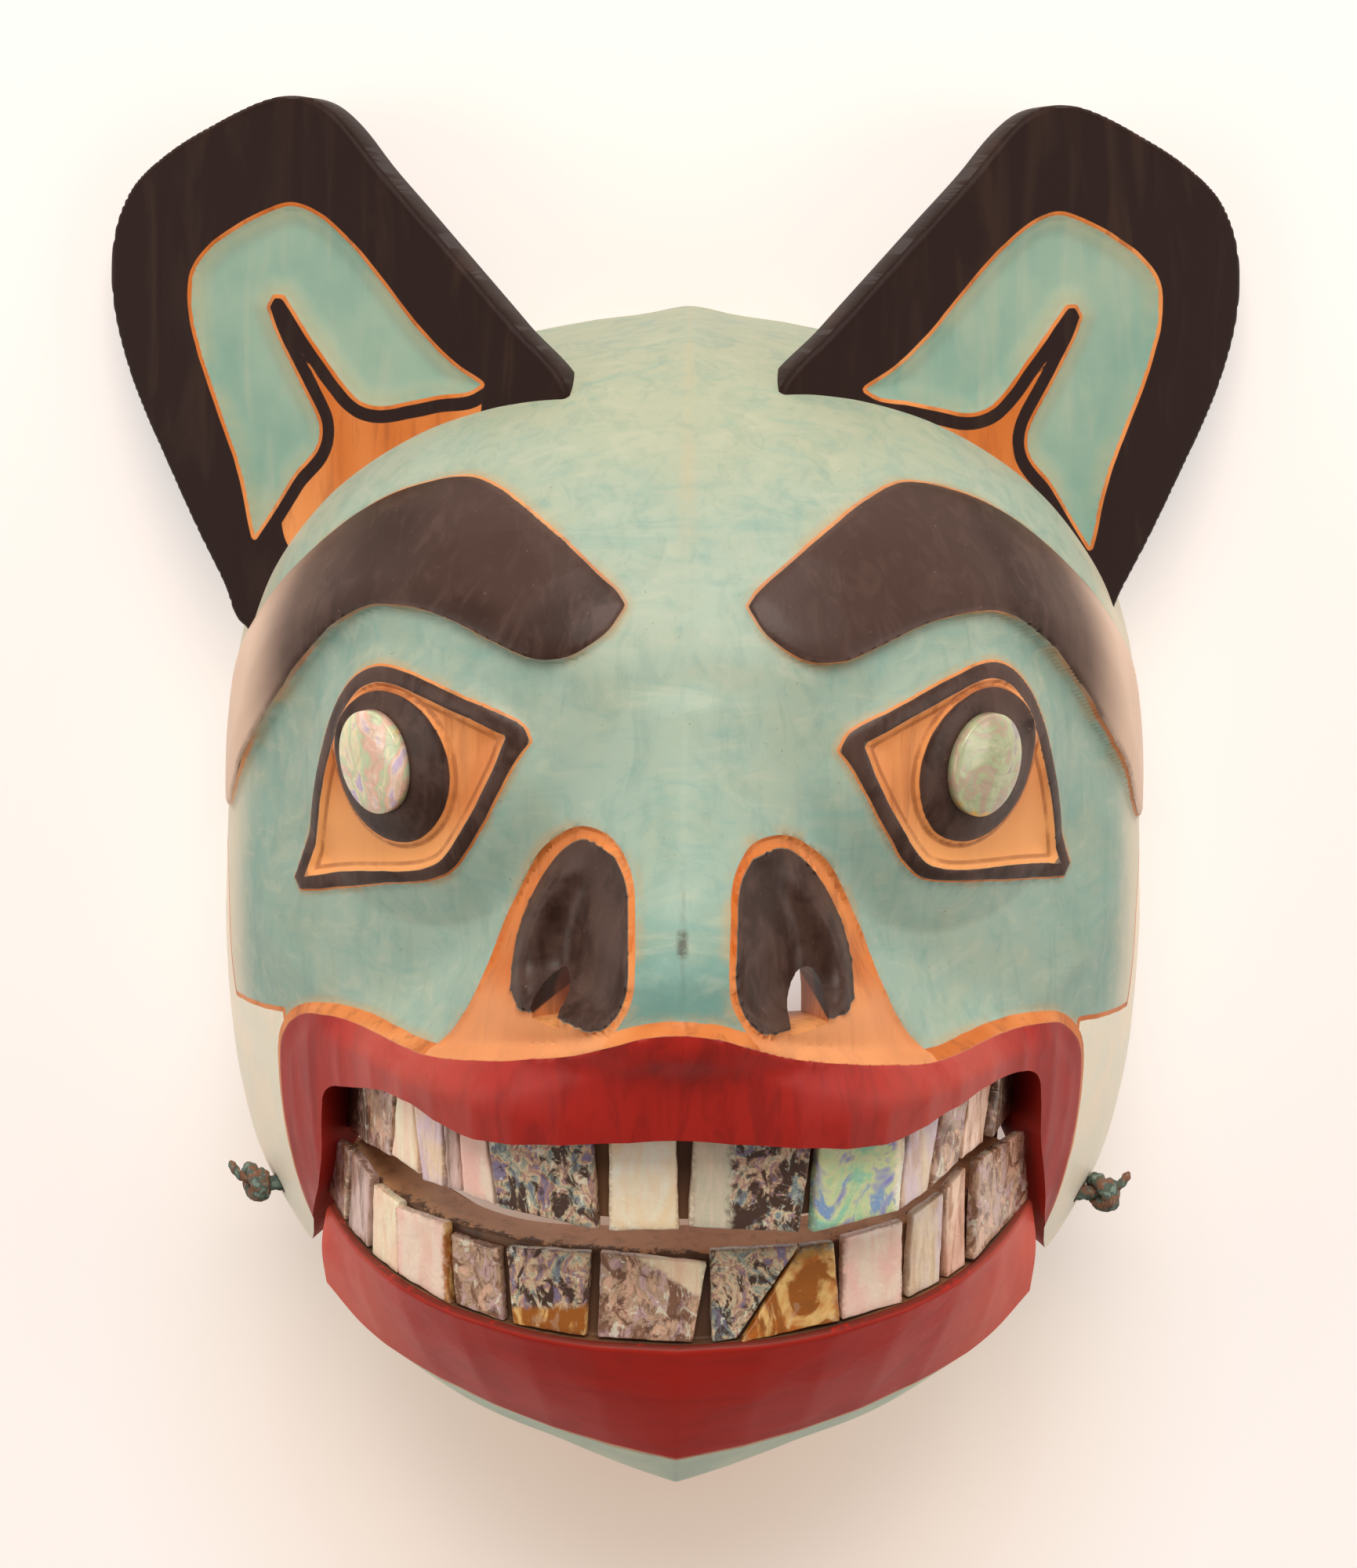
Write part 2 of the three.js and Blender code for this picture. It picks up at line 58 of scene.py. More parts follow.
camera = placed("camera", bpy.data.cameras.new("camera"))
camera.data.sensor_width = SENSOR
camera.data.lens = LENS_PIXELS * SENSOR / IMAGE_HEIGHT
camera.data.shift_x = SHIFT_PIXELS / IMAGE_HEIGHT
aim = FACE_AXIS + Vector((0.0, 0.0, CAMERA_AIM_HEIGHT))
turned = Matrix.Rotation(-CAMERA_LEAN, 4, "X") @ Matrix.Rotation(CAMERA_ROLL, 4, "Z")
camera.matrix_world = Matrix.Translation(aim * MM) @ turned @ Matrix.Translation((0, 0, CAMERA_DISTANCE * MM))
bpy.context.scene.camera = camera

# Studio: a pale floor that glows, brighter under the mask and dimmer below the chin as a painted shadow, a
# broad soft light above the ears, two soft boxes at the sides and a warm room all round, so that the shadows
# stay light and the paint has a soft sheen.
FLOOR_SIZE = 12.0
FLOOR_COLOUR = (0.72, 0.62, 0.55, 1.0)
# painted light: the floor glows brighter under the mask, so that it shows pale through the holes
GLOW_UNDER = (0.76, 0.73, 0.71, 1.0)  # the floor seen through the holes, within UNDER_EDGE metres of the middle
UNDER_EDGE = 0.067
# painted shadow: the floor's glow falls off near a place below the chin
CHIN_SHADE_AT = (0.0, -0.165, 0.0)
CHIN_SHADE = [
    # metres from the place above, light
    (0.02, (0.26, 0.17, 0.12, 1.0)),
    (0.08, (0.41, 0.34, 0.29, 1.0)),
    (0.15, (0.42, 0.43, 0.44, 1.0)),
]
LIT_SPOT = Vector((0.0, 0.0, 0.06))
SOFT_BOXES = [
    # place in metres, size, power in watts, colour
    ((0.0, 1.25, 1.05), 1.0, 22.0, (1.0, 0.94, 0.88)),
    ((-1.2, 0.1, 0.7), 0.8, 5.5, (1.0, 0.94, 0.9)),
    ((1.2, 0.1, 0.7), 0.8, 5.5, (1.0, 0.94, 0.9)),
]
ROOM_COLOUR, ROOM_LIGHT = (1.0, 0.95, 0.9, 1.0), 0.2


class Layer:
    """One value or colour of a finish, which can be reckoned with."""

    def __init__(self, finish, socket):
        self.finish, self.socket = finish, socket

    def reckon(self, operation, *others, clamp=False):
        inputs = dict(enumerate((self, *others)))
        return self.finish.node("ShaderNodeMath", inputs, operation=operation, use_clamp=clamp)

    def __add__(self, other):
        return self.reckon("ADD", other)

    def __sub__(self, other):
        return self.reckon("SUBTRACT", other)

    def __mul__(self, other):
        return self.reckon("MULTIPLY", other)

    def __rsub__(self, other):
        return self * -1 + other

    __radd__, __rmul__ = __add__, __mul__

    def either(self, *others):
        """The greatest of several values."""
        greatest = self
        for other in others:
            greatest = greatest.reckon("MAXIMUM", other)
        return greatest

    def over(self, edge, soft=0.12, low=0.0, high=1.0):
        """One where the value lies over an edge."""
        inputs = {"Value": self, "From Min": edge - soft, "From Max": edge + soft}
        inputs.update({"To Min": low, "To Max": high})
        return self.finish.node("ShaderNodeMapRange", inputs, interpolation_type="SMOOTHSTEP")

    def under(self, edge, soft=0.12):
        """One where the value lies under an edge."""
        return self.over(edge, soft, 1.0, 0.0)

    def between(self, low, high):
        """One where the value lies between two edges."""
        return self.under(high) * self.over(low)


class Finish:
    """A material for one kind of surface, built up in layers."""

    def __init__(self, name):
        self.material = bpy.data.materials.new(name)
        self.material.use_nodes = True
        self.tree = self.material.node_tree
        self.shader = self.tree.nodes["Principled BSDF"]

    def feed(self, socket, value):
        if isinstance(value, Layer):
            self.tree.links.new(value.socket, socket)
        else:
            socket.default_value = value

    def node(self, kind, inputs=None, out=0, stops=None, **settings):
        made = self.tree.nodes.new(kind)
        for name, value in settings.items():
            setattr(made, name, value)
        for i, (at, colour) in enumerate(stops or []):
            stop = made.color_ramp.elements[i] if i < 2 else made.color_ramp.elements.new(at)
            stop.position, stop.color = at, colour
        for name, value in (inputs or {}).items():
            self.feed(made.inputs[name], value)
        return Layer(self, made.outputs[out])

    def place(self, stretch=(1, 1, 1), turn=(0, 0, 0), shift=(0, 0, 0)):
        """Places on the piece in metres, stretched, turned or moved."""
        spot = self.node("ShaderNodeTexCoord", out="Object")
        inputs = {"Vector": spot, "Scale": stretch, "Rotation": turn, "Location": shift}
        return self.node("ShaderNodeMapping", inputs)

    def cloud(self, scale, detail=3.0, rough=0.55, twist=0.0, **where):
        """Soft noise between 0 and 1."""
        inputs = {"Vector": self.place(**where), "Scale": scale, "Detail": detail, "Roughness": rough,
                  "Distortion": twist}
        return self.node("ShaderNodeTexNoise", inputs)

    def kept(self, name):
        """A value kept on the vertices, such as the millimetres to a painted outline, under zero inside it."""
        return self.node("ShaderNodeAttribute", out="Fac", attribute_name=name)

    def coats(self, colour, *coats):
        """Lays coats, each a share and a colour, over a first colour."""
        for share, coat in coats:
            colour = self.node("ShaderNodeMix", {0: share, 6: colour, 7: coat}, out=2, data_type="RGBA")
        return colour

    def ramp(self, value, *stops):
        return self.node("ShaderNodeValToRGB", {"Fac": value}, stops=stops)

    def finished(self, colour, rough, height=None, strength=0.5, specular=0.5, coat=0.0):
        looks = {"Base Color": colour, "Roughness": rough, "Specular IOR Level": specular, "Coat Weight": coat,
                 "Coat Roughness": 0.1}
        if height is not None:
            inputs = {"Height": height, "Strength": strength, "Distance": 1.0}
            looks["Normal"] = self.node("ShaderNodeBump", inputs, out="Normal")
        for name, value in looks.items():
            self.feed(self.shader.inputs[name], value)
        return self.material


def meshed(name, shape, in_mm=False):
    """A mesh from a bmesh. One built in millimetres of the face is brought to its place in metres."""
    if in_mm:
        bmesh.ops.translate(shape, vec=FACE_AXIS, verts=shape.verts)
        bmesh.ops.scale(shape, vec=(MM, MM, MM), verts=shape.verts)
    mesh = bpy.data.meshes.new(name)
    shape.to_mesh(mesh)
    shape.free()
    return mesh


def floor_finish():
    """Pale paper that glows, brighter under the mask so that the holes show pale, and dimmer below the chin as
    a painted shadow.
    """
    finish = Finish("pale_floor")
    place = finish.node("ShaderNodeTexCoord", out="Object")
    from_middle = finish.node("ShaderNodeVectorMath", {0: place}, out="Value", operation="LENGTH")
    inputs = {0: place, 1: CHIN_SHADE_AT}
    from_chin = finish.node("ShaderNodeVectorMath", inputs, out="Value", operation="DISTANCE")
    outside = from_middle.over(UNDER_EDGE, 0.018)
    glow = finish.coats(GLOW_UNDER, (outside, finish.ramp(from_chin, *CHIN_SHADE)))
    finish.feed(finish.shader.inputs["Emission Color"], glow)
    finish.feed(finish.shader.inputs["Emission Strength"], 1.0)
    return finish.finished(FLOOR_COLOUR, 0.9, specular=0.1)


floor_shape = bmesh.new()
bmesh.ops.create_grid(floor_shape, x_segments=1, y_segments=1, size=FLOOR_SIZE / 2)
floor = placed("floor", meshed("floor", floor_shape))
floor.data.materials.append(floor_finish())

for place, size, power, colour in SOFT_BOXES:
    lamp = bpy.data.lights.new("soft_box", "AREA")
    lamp.shape, lamp.size, lamp.energy, lamp.color = "SQUARE", size, power, colour
    soft_box = placed("soft_box", lamp)
    soft_box.location = place
    soft_box.rotation_euler = (LIT_SPOT - Vector(place)).to_track_quat("-Z", "Y").to_euler()

room = bpy.data.worlds.new("room")
room.use_nodes = True
room.node_tree.nodes["Background"].inputs["Color"].default_value = ROOM_COLOUR
room.node_tree.nodes["Background"].inputs["Strength"].default_value = ROOM_LIGHT
bpy.context.scene.world = room
bpy.context.scene.view_settings.view_transform = "Standard"

# Head: one block of wood, hollowed to a shell about a finger thick and carved with brows, sockets,
# eyes, snout and lip. Outlines are drawn as [w, y] in millimetres on a cylinder round the Y axis.
WRAP = 105.0
WALL = 10.0
CROWN = 98.5
CHEEK_END = -122.0


def along(at, stations):
    """A smooth curve through [position, value] stations that never overshoots them."""
    at = np.asarray(at, float)
    xs, values = np.array(stations, float).T
    steps = np.diff(xs)
    rises = np.diff(values) / steps
    slopes = np.empty(len(xs))
    slopes[0], slopes[-1] = rises[0], rises[-1]
    for i in range(1, len(xs) - 1):
        before, after = 2 * steps[i] + steps[i - 1], steps[i] + 2 * steps[i - 1]
        level = rises[i - 1] * rises[i] <= 0
        slopes[i] = 0.0 if level else (before + after) / (before / rises[i - 1] + after / rises[i])
    i = np.clip(np.searchsorted(xs, at) - 1, 0, len(steps) - 1)
    t = np.clip((at - xs[i]) / steps[i], 0, 1)
    keep = 2 * t**3 - 3 * t**2 + 1
    start = values[i] * keep + slopes[i] * steps[i] * (t**3 - 2 * t**2 + t)
    return start + values[i + 1] * (1 - keep) + slopes[i + 1] * steps[i] * (t**3 - t**2)


DOME_WIDTH = [(-135, 86), (-119, 99), (-97, 108.5), (-70, 112.5), (-50, 113.2), (-30, 112.3), (-10, 111),
              (18, 108.5), (40, 102), (60, 90), (75, 75), (85, 61), (92, 48), (96, 35), (98.5, 22)]
DOME_HEIGHT = [(-135, 90), (-118, 94), (-90, 97), (-60, 98), (-20, 109), (10, 113), (35, 112), (60, 98),
               (75, 82), (85, 67), (92, 53), (96, 42), (98.5, 30)]
MUZZLE_WIDTH = [(-135, 80), (-80, 89), (-56, 90), (-42, 76), (-24, 58), (-5, 50), (20, 40), (45, 32),
                (70, 27), (98, 20)]
MUZZLE_HEIGHT = [(-135, 100), (-80, 133), (-56, 139), (-42, 142), (-30, 148), (-20, 146.5), (-5, 134),
                 (5, 127.5), (15, 121.3), (30, 111.2), (40, 99.3), (50, 88), (60, 78), (98, 45)]


def oval(theta, half_width, height, power):
    """Radius of a superellipse at an angle from the Z axis."""
    across = (np.abs(np.sin(theta)) / half_width) ** power
    up = (np.abs(np.cos(theta)) / height) ** power
    return (across + up) ** (-1 / power)


def blend(x, low, high):
    """Zero below low, one above high and smooth between."""
    t = np.clip((x - low) / (high - low), 0, 1)
    return t * t * (3 - 2 * t)


def bowl(w, y, at, half, sharpness):
    """A shallow bowl or mound of elliptical plan, full in the middle and zero at its edge."""
    q = ((w - at[0]) / half[0]) ** 2 + ((y - at[1]) / half[1]) ** 2
    return np.clip(1 - q, 0, 1) ** sharpness


SOCKET_AT, SOCKET_HALF, SOCKET_DEPTH = (76, -2), (47, 47), 7.5
EYEBALL_AT, EYEBALL_HALF, EYEBALL_RISE = (63, 7), (38, 32), 5
MUZZLE_OUT = (30, 70)  # heights between which the muzzle runs out into the forehead


def skin(theta, y):
    """Radius of the face before its brows, eyes and lips are carved."""
    dome = oval(theta, along(y, DOME_WIDTH), along(y, DOME_HEIGHT), 2.15)
    muzzle = oval(theta, along(y, MUZZLE_WIDTH), along(y, MUZZLE_HEIGHT), 2)
    muzzle = muzzle * (1 - blend(y, *MUZZLE_OUT))
    w = np.abs(theta) * WRAP
    ease = 4 + 2 * blend(y, -10, 15)
    lead = np.clip((dome - muzzle) / ease, -30, 30)
    blended = np.where(lead > 29, dome, muzzle + ease * np.log1p(np.exp(lead)))
    socket = SOCKET_DEPTH * bowl(w, y, SOCKET_AT, SOCKET_HALF, 1.3)
    eyeball = EYEBALL_RISE * bowl(w, y, EYEBALL_AT, EYEBALL_HALF, 1)
    ridge = 0.9 * np.exp(-w / 5) + 2.0 * np.exp(-((w / 9) ** 2)) * blend(y, 60, 96)
    return blended - socket + eyeball + ridge


BROW = [(13, 51), (16.5, 45.5), (24, 40.5), (31, 39.8), (39, 42.2), (52, 46), (64, 47), (75, 45.2), (85, 39),
        (97, 28.5), (108, 16.5), (119, 4), (131, -12), (137, -14), (139, 2), (132, 25), (119, 39), (108, 50),
        (97, 60), (86, 66.5), (72, 71), (60, 72.3), (46, 69.5), (31, 63.5), (21, 57.5), (15, 53.5)]
EYE = [(30.7, 19.4), (32.6, 22.7), (38, 25.7), (52, 31), (59, 33), (65, 33.9), (70, 33.3), (75, 31), (79, 27.3),
       (82.5, 21.9), (87.2, 11.4), (93.3, -3.2), (98.9, -18.9), (96.9, -21.4), (88.5, -20.1), (69.5, -16.2),
       (54.4, -13.1), (48.5, -10), (41, 0.4), (32.8, 16.2)]
EYE_WHITE = [(35.2, 20.8), (45.5, 25.2), (58.5, 29.5), (65, 30.6), (70.5, 29.6), (75, 26.5), (79, 20.5),
             (84, 10.2), (90.2, -4.5), (95.5, -18.3), (79.5, -14.8), (61.5, -12.1), (55.6, -10.6), (50.7, -7.8),
             (43.7, 2), (38, 13)]
IRIS_AT, IRIS_HALF, IRIS_LEAN = (64.4, 11.6), (16.3, 17.3), 24.0
LIP = [(-12, -27.8), (-2, -28.5), (5, -30), (10, -33), (18, -38.3), (29, -43), (38.5, -46.1), (49, -48.7),
       (60, -49.6), (80, -50.3), (88, -51.5), (95, -53.5), (101, -57.5), (104.8, -62.5), (106.3, -70),
       (106.4, -80), (106, -88), (104.9, -96), (103.8, -104), (102.5, -114), (90, -114), (80, -100), (60, -100),
       (20, -100), (-12, -100)]
LIP_LOW = [(0, -54.6), (10.5, -56.6), (22, -59.5), (31, -61.8), (38.5, -62.7), (45.5, -61.6), (54, -60.2),
           (62, -60.2), (74, -62.2), (80, -63.5), (84.5, -65.5), (87.3, -69.5), (88.2, -76), (89.2, -83),
           (91.5, -90), (95, -97.5), (99.5, -105.5), (102.5, -109.5), (108, -116), (116, -121), (124, -123)]
NOSTRIL = [(16.5, 1.2), (12.2, 0.8), (10.2, -2), (9.2, -6), (8.7, -11), (8.3, -16), (8.2, -20.5), (8.8, -24.5),
           (10.5, -29), (13.3, -32), (18, -32.4), (22.5, -32), (28, -33.3), (31.3, -31.5), (32.5, -27.5),
           (32.2, -22), (31, -17), (29, -12), (26.5, -7.5), (23, -2.8), (19.5, 0.3)]
FLARE = [(20, 3), (24.5, -0.5), (28.8, -5), (32, -11), (35, -17.5), (37.5, -24), (39.3, -30), (42, -37),
         (45, -42.5), (48.5, -46.8), (50.5, -48.5), (30, -60), (4, -60), (9, -38), (12, -34), (10.8, -32.2),
         (9, -28.5), (7.6, -24.5), (7.1, -20), (7.2, -15), (7.7, -9), (8.4, -2.6), (10, 1.3), (12.5, 3.8),
         (16, 4.2)]
SIDE = [(170, -23), (142.9, -26.9), (139.5, -33), (137, -41), (135, -54), (133, -60.5), (118, -58),
        (104, -55.2), (104, -140), (170, -140)]


def drawn(points, step=1.2, corner=46.0):
    """A smooth closed line through points, resampled, that keeps its corners."""
    points = np.array(points, float)
    before, after = np.roll(points, 1, 0), np.roll(points, -1, 0)
    a, b = points - before, after - points
    cosine = (a * b).sum(1) / (np.linalg.norm(a, axis=1) * np.linalg.norm(b, axis=1))
    turn = np.degrees(np.arccos(np.clip(cosine, -1, 1)))
    lengths = np.linalg.norm(b, axis=1)
    slope = (after - before) / (lengths + np.roll(lengths, 1))[:, None]
    line = []
    for i in range(len(points)):
        j = (i + 1) % len(points)
        straight = (points[j] - points[i]) / lengths[i]
        start = (straight if turn[i] > corner else slope[i]) * lengths[i]
        end = (straight if turn[j] > corner else slope[j]) * lengths[i]
        t = np.linspace(0, 1, max(int(lengths[i] / step), 1) + 1)[:-1, None]
        line.append(points[i] * (2 * t**3 - 3 * t**2 + 1) + start * (t**3 - 2 * t**2 + t)
                    + points[j] * (3 * t**2 - 2 * t**3) + end * (t**3 - t**2))
    return np.concatenate(line)


def oval_line(at, half, lean, count=72):
    """An oval as [w, y] points."""
    turn = np.linspace(0, 2 * np.pi, count, endpoint=False)
    across, up = half[0] * np.cos(turn), half[1] * np.sin(turn)
    c, s = math.cos(math.radians(lean)), math.sin(math.radians(lean))
    return np.stack([at[0] + across * c + up * s, at[1] - across * s + up * c], 1)


LINES = {"brow": drawn(BROW), "eye": drawn(EYE), "white": drawn(EYE_WHITE),
         "iris": oval_line(IRIS_AT, IRIS_HALF, IRIS_LEAN), "lip": drawn(LIP), "nostril": drawn(NOSTRIL),
         "flare": drawn(FLARE), "side": drawn(SIDE)}


def polar(radius, theta, y):
    """Points at a radius and an angle round the Y axis of the face, in millimetres."""
    return np.stack([radius * np.sin(theta), np.broadcast_to(y, theta.shape), radius * np.cos(theta)], -1)


def on_skin(spot, lift=0.0):
    """Points of the skin, from [w, y] on the cylinder."""
    theta = spot[:, 0] / WRAP
    return polar(skin(theta, spot[:, 1]) + lift, theta, spot[:, 1])


def nearest(points, line, reach, surface=on_skin):
    """Signed distance over a surface to a closed line, under zero inside, and the line's nearest point."""
    low, high = line.min(0) - reach, line.max(0) + reach
    close = np.flatnonzero((points > low).all(1) & (points < high).all(1))
    distance, foot = np.full(len(points), float(reach)), points.copy()
    a, b = line, np.roll(line, -1, 0)
    start = surface(a)
    edge = surface(b) - start
    length = (edge**2).sum(1)
    rise = np.where(b[:, 1] == a[:, 1], 1e-9, b[:, 1] - a[:, 1])
    for part in np.array_split(close, max(len(close) // 3000, 1)):
        x, y = points[part, 0, None], points[part, 1, None]
        here = surface(points[part])[:, None] - start
        t = np.clip((here * edge).sum(2) / length, 0, 1)
        gap = np.linalg.norm(here - t[..., None] * edge, axis=2)
        k, row = gap.argmin(1), np.arange(len(part))
        crosses = (a[:, 1] > y) != (b[:, 1] > y)
        inside = (crosses & (x < a[:, 0] + (y - a[:, 1]) * (b[:, 0] - a[:, 0]) / rise)).sum(1) % 2 == 1
        distance[part] = np.clip(gap[row, k], 0, reach) * np.where(inside, -1, 1)
        t = t[row, k][:, None]
        foot[part] = a[k] * (1 - t) + b[k] * t
    return distance, foot


REACH = 30.0


def askew(spot, side):
    """How much higher the eyes sit than their pattern: the left one dips at its outer end, the right rises."""
    w, y = spot.T
    brow = along(w, [(10, 43), (31, 40), (52, 46), (75, 45), (97, 28), (119, 4), (140, -14)])
    share = blend(w, 8, 28) * (1 - blend(w, 104, 126)) * blend(y, -36, -25) * (1 - blend(y, brow - 9, brow - 2))
    return share * np.where(side < 0, 2.7 - (w - 31) * 0.083, 1.5 + (w - 31) * 0.015)


LIP_CUTS = np.array([0, 8, 19, 28, 36, 46, 55, 66, 79, 92, 108, 130.0])
NOSTRIL_INNER = [(-34, 14), (-32, 13.3), (-29, 10.5), (-24.5, 8.8), (-20, 8.2), (-11, 8.7), (-6, 9.2),
                 (-2, 10.2), (0.8, 12.2), (2, 16.5)]
NOSTRIL_OUTER = [(-33.5, 27), (-31.5, 31.3), (-27.5, 32.5), (-22, 32.2), (-17, 31), (-12, 29), (-7.5, 26.5),
                 (-2.8, 23), (0.5, 19), (2, 16.5)]
NOSTRIL_DEPTH = [(-34, 0.0), (-31.5, 6.0), (-27, 11.5), (-22, 11.0), (-14, 8.0), (-6, 4.6), (0, 2.2), (2, 0.4)]
# carved heights in millimetres
BROW_RISE, BROW_CROWN, BROW_RECESS = 1.5, 0.6, 3.4
EYE_RIM, WHITE_SUNK, IRIS_RIM, IRIS_CROWN = 0.9, 1.9, 1.3, 1.5
LIP_RISE, LIP_FALL, LIP_CROWN, LIP_FACET = 2.5, 1.7, 1.1, 0.45
FLARE_SHELF, NOSTRIL_WING, NOSTRIL_STEP = 1.1, 2.4, 0.4


def carving(w, y, edge):
    """How far the carved face stands above the skin, from the distances to the outlines."""
    brow, eye, white, iris = edge["brow"], edge["eye"], edge["white"], edge["iris"]
    lip, nostril, flare = edge["lip"], edge["nostril"], edge["flare"]
    lift = BROW_RISE * blend(-brow, -1.3, 0.7) + BROW_CROWN * blend(-brow, 0, 6)
    below_brow = y < along(w, [(10, 47), (31, 50), (64, 58), (97, 44), (119, 22), (140, -2)])
    recess = (1 - np.exp(-np.clip(brow, 0, None) / 2.5)) * np.exp(-np.clip(brow, 0, None) / 9)
    recess *= blend(w, 12, 34) * (1 - blend(w, 112, 136))
    lift -= np.where((brow > 0.01) & below_brow, BROW_RECESS * recess, 0.0)
    lift += EYE_RIM * blend(-eye, -0.7, 0.3)
    lift -= np.where(white < 0, WHITE_SUNK * (1 - np.exp(white / 2.2)), 0.0)
    lift += IRIS_RIM * blend(-iris, -0.7, 0.4) + IRIS_CROWN * blend(-iris, 0, 10)
    height = LIP_RISE - LIP_FALL * blend(w, 84, 100)
    t = np.interp(w, LIP_CUTS, np.arange(len(LIP_CUTS))) % 1
    cut = LIP_FACET * 4 * t * (1 - t) * blend(-lip, 0, 5)
    on_lip, beside_lip = height + LIP_CROWN * blend(-lip, 0, 7) - cut, height * np.clip(1 - lip / 2.3, 0, 1)
    lift += np.where(lip <= 0.02, on_lip, beside_lip)
    shelf = FLARE_SHELF * blend(-flare, 0, 1.1) * blend(lip, 0.0, 2.3)
    lift -= np.where((flare < 0) & (lip > 0.02) & (nostril >= 0), shelf, 0.0)
    inner, outer = w - along(y, NOSTRIL_INNER), along(y, NOSTRIL_OUTER) - w
    scoop = along(y, NOSTRIL_DEPTH) * np.sqrt(blend(inner, -1.5, 11)) * blend(outer, 1, 12)
    scoop = scoop * blend(-nostril, 0.15, 2.4)
    wing = NOSTRIL_WING * np.exp(-(((outer - 4.2) / 3.0) ** 2)) * blend(-y, 2, 14) * blend(-nostril, 0, 3.5)
    lift += np.where(nostril < 0, wing - scoop - NOSTRIL_STEP * blend(-nostril, 0.1, 1.4), 0.0)
    return lift


def read(data, name, width):
    """The values that a mesh holds, such as the places of its vertices."""
    values = np.empty(len(data) * width)
    data.foreach_get(name, values)
    return values.reshape(-1, width) if width > 1 else values


def keep(mesh, **values):
    """Keeps values on the vertices of a mesh, for its paint."""
    for name, value in values.items():
        mesh.attributes.new(name, "FLOAT", "POINT").data.foreach_set("value", value)


def on_grid(name, columns, rows, place):
    """A grid whose columns and rows sit at given values, shaped by place(column, row)."""
    shape = bmesh.new()
    bmesh.ops.create_grid(shape, x_segments=len(columns) - 1, y_segments=len(rows) - 1, size=1)
    mesh = meshed(name, shape)
    flat = read(mesh.vertices, "co", 3)
    column = np.interp(flat[:, 0], np.linspace(-1, 1, len(columns)), columns)
    row = np.interp(flat[:, 1], np.linspace(-1, 1, len(rows)), rows)
    mesh.vertices.foreach_set("co", ((place(column, row) + np.array(FACE_AXIS)) * MM).ravel())
    keep(mesh, walk=row)
    return mesh


def spaced(*stretches):
    """Positions along a line, from (start, end, step) stretches."""
    parts = [np.linspace(a, b, max(round(abs(b - a) / step), 1) + 1) for a, b, step in stretches]
    return np.concatenate([parts[0]] + [part[1:] for part in parts[1:]])


def both_ways(half):
    """Mirrors positions that start at zero."""
    return np.concatenate([-half[:0:-1], half])


def border(shape):
    return [edge for edge in shape.edges if edge.is_boundary]


def only_vertices(made):
    return [part for part in made["geom"] if isinstance(part, bmesh.types.BMVert)]


def closed(mesh, to_axis):
    """Closes a sheet: its border runs in to the Y axis of the face, or else its ends meet or are filled."""
    shape = bmesh.new()
    shape.from_mesh(mesh)
    if to_axis:
        for vertex in only_vertices(bmesh.ops.extrude_edge_only(shape, edges=border(shape))):
            vertex.co.x, vertex.co.z = FACE_AXIS.x * MM, 0.0
    bmesh.ops.remove_doubles(shape, verts=shape.verts, dist=1e-7)
    bmesh.ops.holes_fill(shape, edges=border(shape), sides=0)
    bmesh.ops.recalc_face_normals(shape, faces=shape.faces)
    shape.to_mesh(mesh)
    shape.free()
    return mesh


def marked(mesh, part):
    """An object whose faces remember which part of the work they were cut by."""
    layer = mesh.attributes.new("part", "INT", "FACE")
    layer.data.foreach_set("value", np.full(len(mesh.polygons), part, np.int32))
    return placed(mesh.name, mesh)


def joined(base, others, operation):
    """Joins or cuts the base with other closed objects, which are used up."""
    for other in others:
        tool = base.modifiers.new(other.name, "BOOLEAN")
        tool.solver = "MANIFOLD"
        tool.operation = operation
        tool.object = other
    result = bpy.data.meshes.new_from_object(base.evaluated_get(bpy.context.evaluated_depsgraph_get()))
    base.modifiers.clear()
    base.data = result
    for other in others:
        bpy.data.objects.remove(other)
    return base


HEAD_COLUMNS = both_ways(spaced((0, 45, 0.72), (45, 139, 0.95), (139, 90 * WRAP * math.pi / 180, 1.9))) / WRAP
RIPPLE, CUSP, CROWN_RISE = 0.12, 1.9, 1.6
CROWN_ROWS = np.array([0.2, 0.4, 0.6, 0.8, 0.93, 1.0])
HEAD_ROWS = np.concatenate([spaced((CHEEK_END, 75, 0.95), (75, CROWN, 1.4)), CROWN + CROWN_ROWS])


